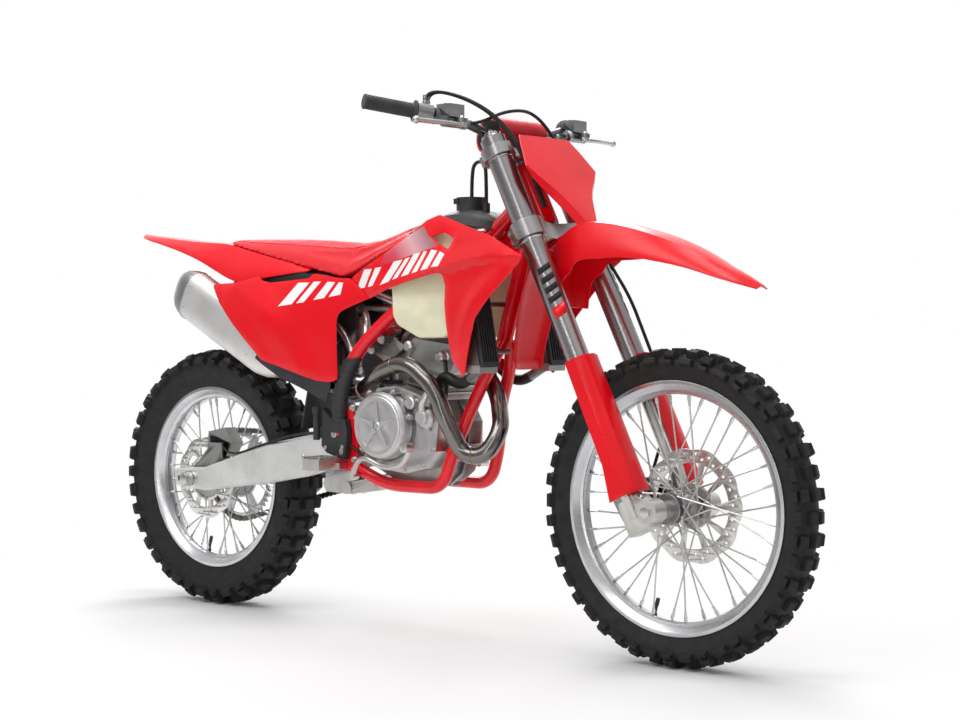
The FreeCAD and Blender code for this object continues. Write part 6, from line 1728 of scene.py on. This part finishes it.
def studio():
    """Pale floor that fades to white away from the bike, soft lamps from above and the camera."""
    ground = -SEAT_LOW[2] * MM
    n = 48
    edge = np.column_stack([ring_loop((0, 0), 14, n), np.full(n, ground)])
    mesh = bpy.data.meshes.new("floor")
    mesh.from_pydata(edge.tolist(), [], [tuple(range(n))])
    floor = bpy.data.objects.new("floor", mesh)
    bpy.context.scene.collection.objects.link(floor)
    floor.data.materials.append(floor_paint())
    world = bpy.data.worlds.new("studio")
    bpy.context.scene.world = world
    world.use_nodes = True
    tree = world.node_tree
    tree.nodes.clear()
    coords = add(tree, "ShaderNodeTexCoord").outputs["Generated"]
    up = add(tree, "ShaderNodeSeparateXYZ", {"Vector": coords}).outputs["Z"]
    height = add(tree, "ShaderNodeMapRange", {"Value": up, "From Min": -0.4, "From Max": 0.9})
    ramp = add(tree, "ShaderNodeValToRGB", {"Fac": height.outputs["Result"]})
    ramp.color_ramp.elements[0].color = (0.26, 0.26, 0.26, 1)
    ramp.color_ramp.elements[1].color = (0.8, 0.8, 0.8, 1)
    ramp.color_ramp.elements.new(0.36).color = (0.26, 0.26, 0.26, 1)
    screen_way = add(tree, "ShaderNodeVectorMath", {0: coords, 1: (-0.64, 0.77, 0.0)},
                     operation="DOT_PRODUCT")
    behind = add(tree, "ShaderNodeMapRange", {"Value": screen_way.outputs["Value"], "From Min": 0.25,
                                              "From Max": 0.9})
    screen = add(tree, "ShaderNodeMapRange", {"Value": up, "From Min": -0.1, "From Max": 0.02})
    glow = add(tree, "ShaderNodeMath", {0: behind.outputs["Result"], 1: screen.outputs["Result"]},
               operation="MULTIPLY")
    lit = add(tree, "ShaderNodeMix", {"Factor": glow.outputs[0], "A": ramp.outputs["Color"],
                                      "B": (1.25, 1.25, 1.25, 1)}, data_type="RGBA")
    path = add(tree, "ShaderNodeLightPath")
    mix = add(tree, "ShaderNodeMix", {"Factor": path.outputs["Is Camera Ray"], "A": lit.outputs["Result"],
                                      "B": (1.0, 1.0, 1.0, 1)}, data_type="RGBA")
    back = add(tree, "ShaderNodeBackground", {"Color": mix.outputs["Result"], "Strength": 1.0})
    out = add(tree, "ShaderNodeOutputWorld")
    tree.links.new(back.outputs["Background"], out.inputs["Surface"])
    for name, place, size, power in (("key", (-0.2, -2.6, 2.6), (3.0, 1.4), 54.0),
                                     ("front", (3.2, -1.2, 1.6), (2.0, 2.2), 4.0),
                                     ("strip", (1.5, -3.1, 0.5), (0.3, 2.6), 11.0),
                                     ("far", (-1.8, 2.4, 1.9), (2.2, 1.0), 60.0),
                                     ("top", (0.3, 0.1, 3.2), (2.4, 1.2), 62.0)):
        lamp = bpy.data.lights.new(name, "AREA")
        lamp.shape = "RECTANGLE"
        lamp.size, lamp.size_y = size
        lamp.energy = power
        obj = bpy.data.objects.new(name, lamp)
        obj.location = place
        aim = Vector((0.2, 0.0, -0.3)) - Vector(place)
        obj.rotation_euler = aim.to_track_quat("-Z", "Y").to_euler()
        bpy.context.scene.collection.objects.link(obj)


def floor_paint():
    """Seamless paper: matt white near the bike, where it keeps the shadow, and bare white farther off."""
    material, tree, shader, coords = start("seamless_white_paper", Roughness=0.9)
    shader.inputs["Base Color"].default_value = linear("#E2E2E2")
    away = add(tree, "ShaderNodeVectorMath", {0: coords, 1: (1.0, 1.25, 0.0)}, operation="MULTIPLY")
    shift = add(tree, "ShaderNodeVectorMath", {0: away.outputs[0], 1: (-0.2, 0.0, 0.0)}, operation="ADD")
    far = add(tree, "ShaderNodeVectorMath", {0: shift.outputs[0]}, operation="LENGTH")
    fade = add(tree, "ShaderNodeMapRange", {"Value": far.outputs["Value"], "From Min": 0.95, "From Max": 1.9},
               interpolation_type="SMOOTHSTEP")
    path = add(tree, "ShaderNodeLightPath")
    seen = add(tree, "ShaderNodeMath", {0: path.outputs["Is Camera Ray"], 1: fade.outputs["Result"]},
               operation="MULTIPLY")
    white = add(tree, "ShaderNodeEmission", {"Color": (1.0, 1.0, 1.0, 1), "Strength": 1.0})
    mix = add(tree, "ShaderNodeMixShader", {0: seen.outputs[0], 1: shader.outputs["BSDF"],
                                            2: white.outputs[0]})
    out = [node for node in tree.nodes if node.type == "OUTPUT_MATERIAL"][0]
    tree.links.new(mix.outputs[0], out.inputs["Surface"])
    return material


def camera():
    """Camera at the photograph's place: its back axis from azimuth and elevation, then a slight roll."""
    azimuth, elevation, roll = math.radians(40.058), math.radians(1.231), math.radians(-0.062)
    back = Vector((math.sin(azimuth) * math.cos(elevation), -math.cos(azimuth) * math.cos(elevation),
                   math.sin(elevation)))
    right = (-back).cross(Vector((0, 0, 1))).normalized()
    up = right.cross(-back)
    across = right * math.cos(roll) + up * math.sin(roll)
    over = up * math.cos(roll) - right * math.sin(roll)
    data = bpy.data.cameras.new("photo_camera")
    data.sensor_width = 36.0
    data.lens = 1844.3 / 960 * 36.0
    data.clip_start, data.clip_end = 0.1, 100.0
    obj = bpy.data.objects.new("photo_camera", data)
    turn = Matrix((across, over, back)).transposed().to_4x4()
    obj.matrix_world = Matrix.Translation(lay((3753.1, -3376.5, 763.1)).tolist()) @ turn
    bpy.context.scene.collection.objects.link(obj)
    bpy.context.scene.camera = obj
    bpy.context.scene.view_settings.view_transform = "Standard"


# Add-on


class BikeSizes(bpy.types.PropertyGroup):
    wheelbase: bpy.props.FloatProperty(
        name="Wheelbase", description="Distance between the axles, read from the record", unit="LENGTH",
        default=WHEELBASE * MM)
    edge: bpy.props.FloatProperty(
        name="Edge radius", description="Rounding of the solid parts' edges", unit="LENGTH", default=0.0008)


def operator(idname, label, text, steps):
    """Operator class that runs the given building functions in order."""
    def execute(self, context):
        for step in steps:
            step()
        return {"FINISHED"}
    name = "BIKE_OT_" + idname
    return type(name, (bpy.types.Operator,), {"bl_idname": "bike." + idname, "bl_label": label,
                                              "__doc__": text,
                                              "execute": execute})


def both_tyres():
    """Tyre, rim, spokes and valve of each wheel."""
    for wheel in (FRONT, REAR):
        tyre(wheel)
        rim(wheel)
        spokes(wheel)
        tyre_valve(wheel)


def discs():
    """Front disc of ten waves on the left, rear disc of nine on the right."""
    brake_disc(FRONT, 130.0, 42.0, 50.5, 53.5, 10, 48.0)
    brake_disc(REAR, 110.0, 52.0, -58.0, -54.0, 9, 58.0)


def plain_nodes():
    """Every CAD node that keeps its own form, dressed in its finish."""
    for node, (finish, bevel) in PLAIN.items():
        if node in frame["nodes"]:
            dress(node, finish, bevel, node not in CURVED)


PLAIN = {
    "front_hub": ("machined", 0.6), "rear_hub": ("machined", 0.6), "fork_tubes": ("tube", 0.6),
    "fork_lowers": ("steel", 1.0), "fork_guards": ("red", 0.8), "fork_clamps": ("machined", 1.2),
    "handlebar": ("bar", 0.4), "control_housings": ("bracket", 1.2),
    "hand_levers": ("steel", 1.0), "front_axle": ("steel", 0.5), "front_caliper": ("caliper", 1.5),
    "frame_rails": ("paint", 1.0), "frame_cradle": ("paint", 1.0),
    "subframe": ("steel", 0), "engine_cases": ("cast", 1.2), "engine_covers": ("cover", 1.2),
    "cylinder": ("cast", 1.0),
    "exhaust_header": ("header", 0), "radiators": ("core", 1.0),
    "radiator_guards": ("black", 0.5),
    "tank_cover": ("black", 2.0),
    "airbox": ("black", 1.0), "swingarm": ("swingarm", 1.5), "rear_axle": ("steel", 0.6),
    "rear_caliper": ("caliper", 1.5), "linkage": ("steel", 1.0), "footpegs": ("steel", 0.6),
    "foot_levers": ("steel", 0.6), "frame_guards": ("black", 0.8)}

CURVED = ("exhaust_header", "handlebar", "fork_guards", "subframe",
          "frame_rails", "frame_cradle", "hand_levers", "foot_levers")

OPERATORS = [
    operator("tyres", "Tyres, rims and spokes", "Builds both tyres with their rims, spokes and valves",
             [both_tyres]),
    operator("brakes", "Discs and sprocket", "Builds both wave discs and the rear sprocket",
             [discs, rear_sprocket]),
    operator("chain", "Chain", "Builds the chain and the front sprocket", [chain]),
    operator("bodywork", "Bodywork", "Builds the side panels and shrouds with their film bars",
             [side_panels, shrouds, rear_fender, front_fender, fender_flap, number_plate]),
    operator("seat", "Seat", "Builds the padded seat with its cover, seam and welt, and the bar pad",
             [seat, bar_pad]),
    operator("tank", "Tank, silencer and shock",
             "Builds the tank's lobes, the silencer and the shock with its spring",
             [tank, silencer, shock]),
    operator("engine", "Engine details",
             "Builds the engine's bolts, fittings and lines and the header's welds",
             [engine_details, weld_beads]),
    operator("controls", "Fork and bar details",
             "Builds the grips, the fork's caps, bolts and bands, and the bar's fittings",
             [grips, fork_details, bar_details]),
    operator("screws", "Screws and fittings",
             "Builds the body's screws, the pegs' teeth and the swingarm's fittings",
             [body_screws, swingarm_details]),
    operator("hoses", "Hoses and cables", "Lays the held hoses and cables along their routes", [all_hoses]),
    operator("finishes", "Metal and moulded parts", "Gives the solid parts their edges and finishes",
             [plain_nodes]),
    operator("stage", "Studio", "Builds the floor, the lamps and the camera", [studio, camera]),
]


class BIKE_PT_panel(bpy.types.Panel):
    bl_label = "Motocross bike"
    bl_idname = "BIKE_PT_panel"
    bl_space_type = "VIEW_3D"
    bl_region_type = "UI"
    bl_category = "Bike"

    def draw(self, context):
        for prop in ("wheelbase", "edge"):
            self.layout.prop(context.scene.bike_sizes, prop)
        for kind in OPERATORS:
            self.layout.operator(kind.bl_idname)


CLASSES = [BikeSizes, BIKE_PT_panel] + OPERATORS


def register():
    for kind in CLASSES:
        bpy.utils.register_class(kind)
    bpy.types.Scene.bike_sizes = bpy.props.PointerProperty(type=BikeSizes)


def unregister():
    del bpy.types.Scene.bike_sizes
    for kind in reversed(CLASSES):
        bpy.utils.unregister_class(kind)


def main():
    register()
    for kind in OPERATORS:
        getattr(bpy.ops.bike, kind.bl_idname.split(".")[1])()


if __name__ == "__main__":
    main()
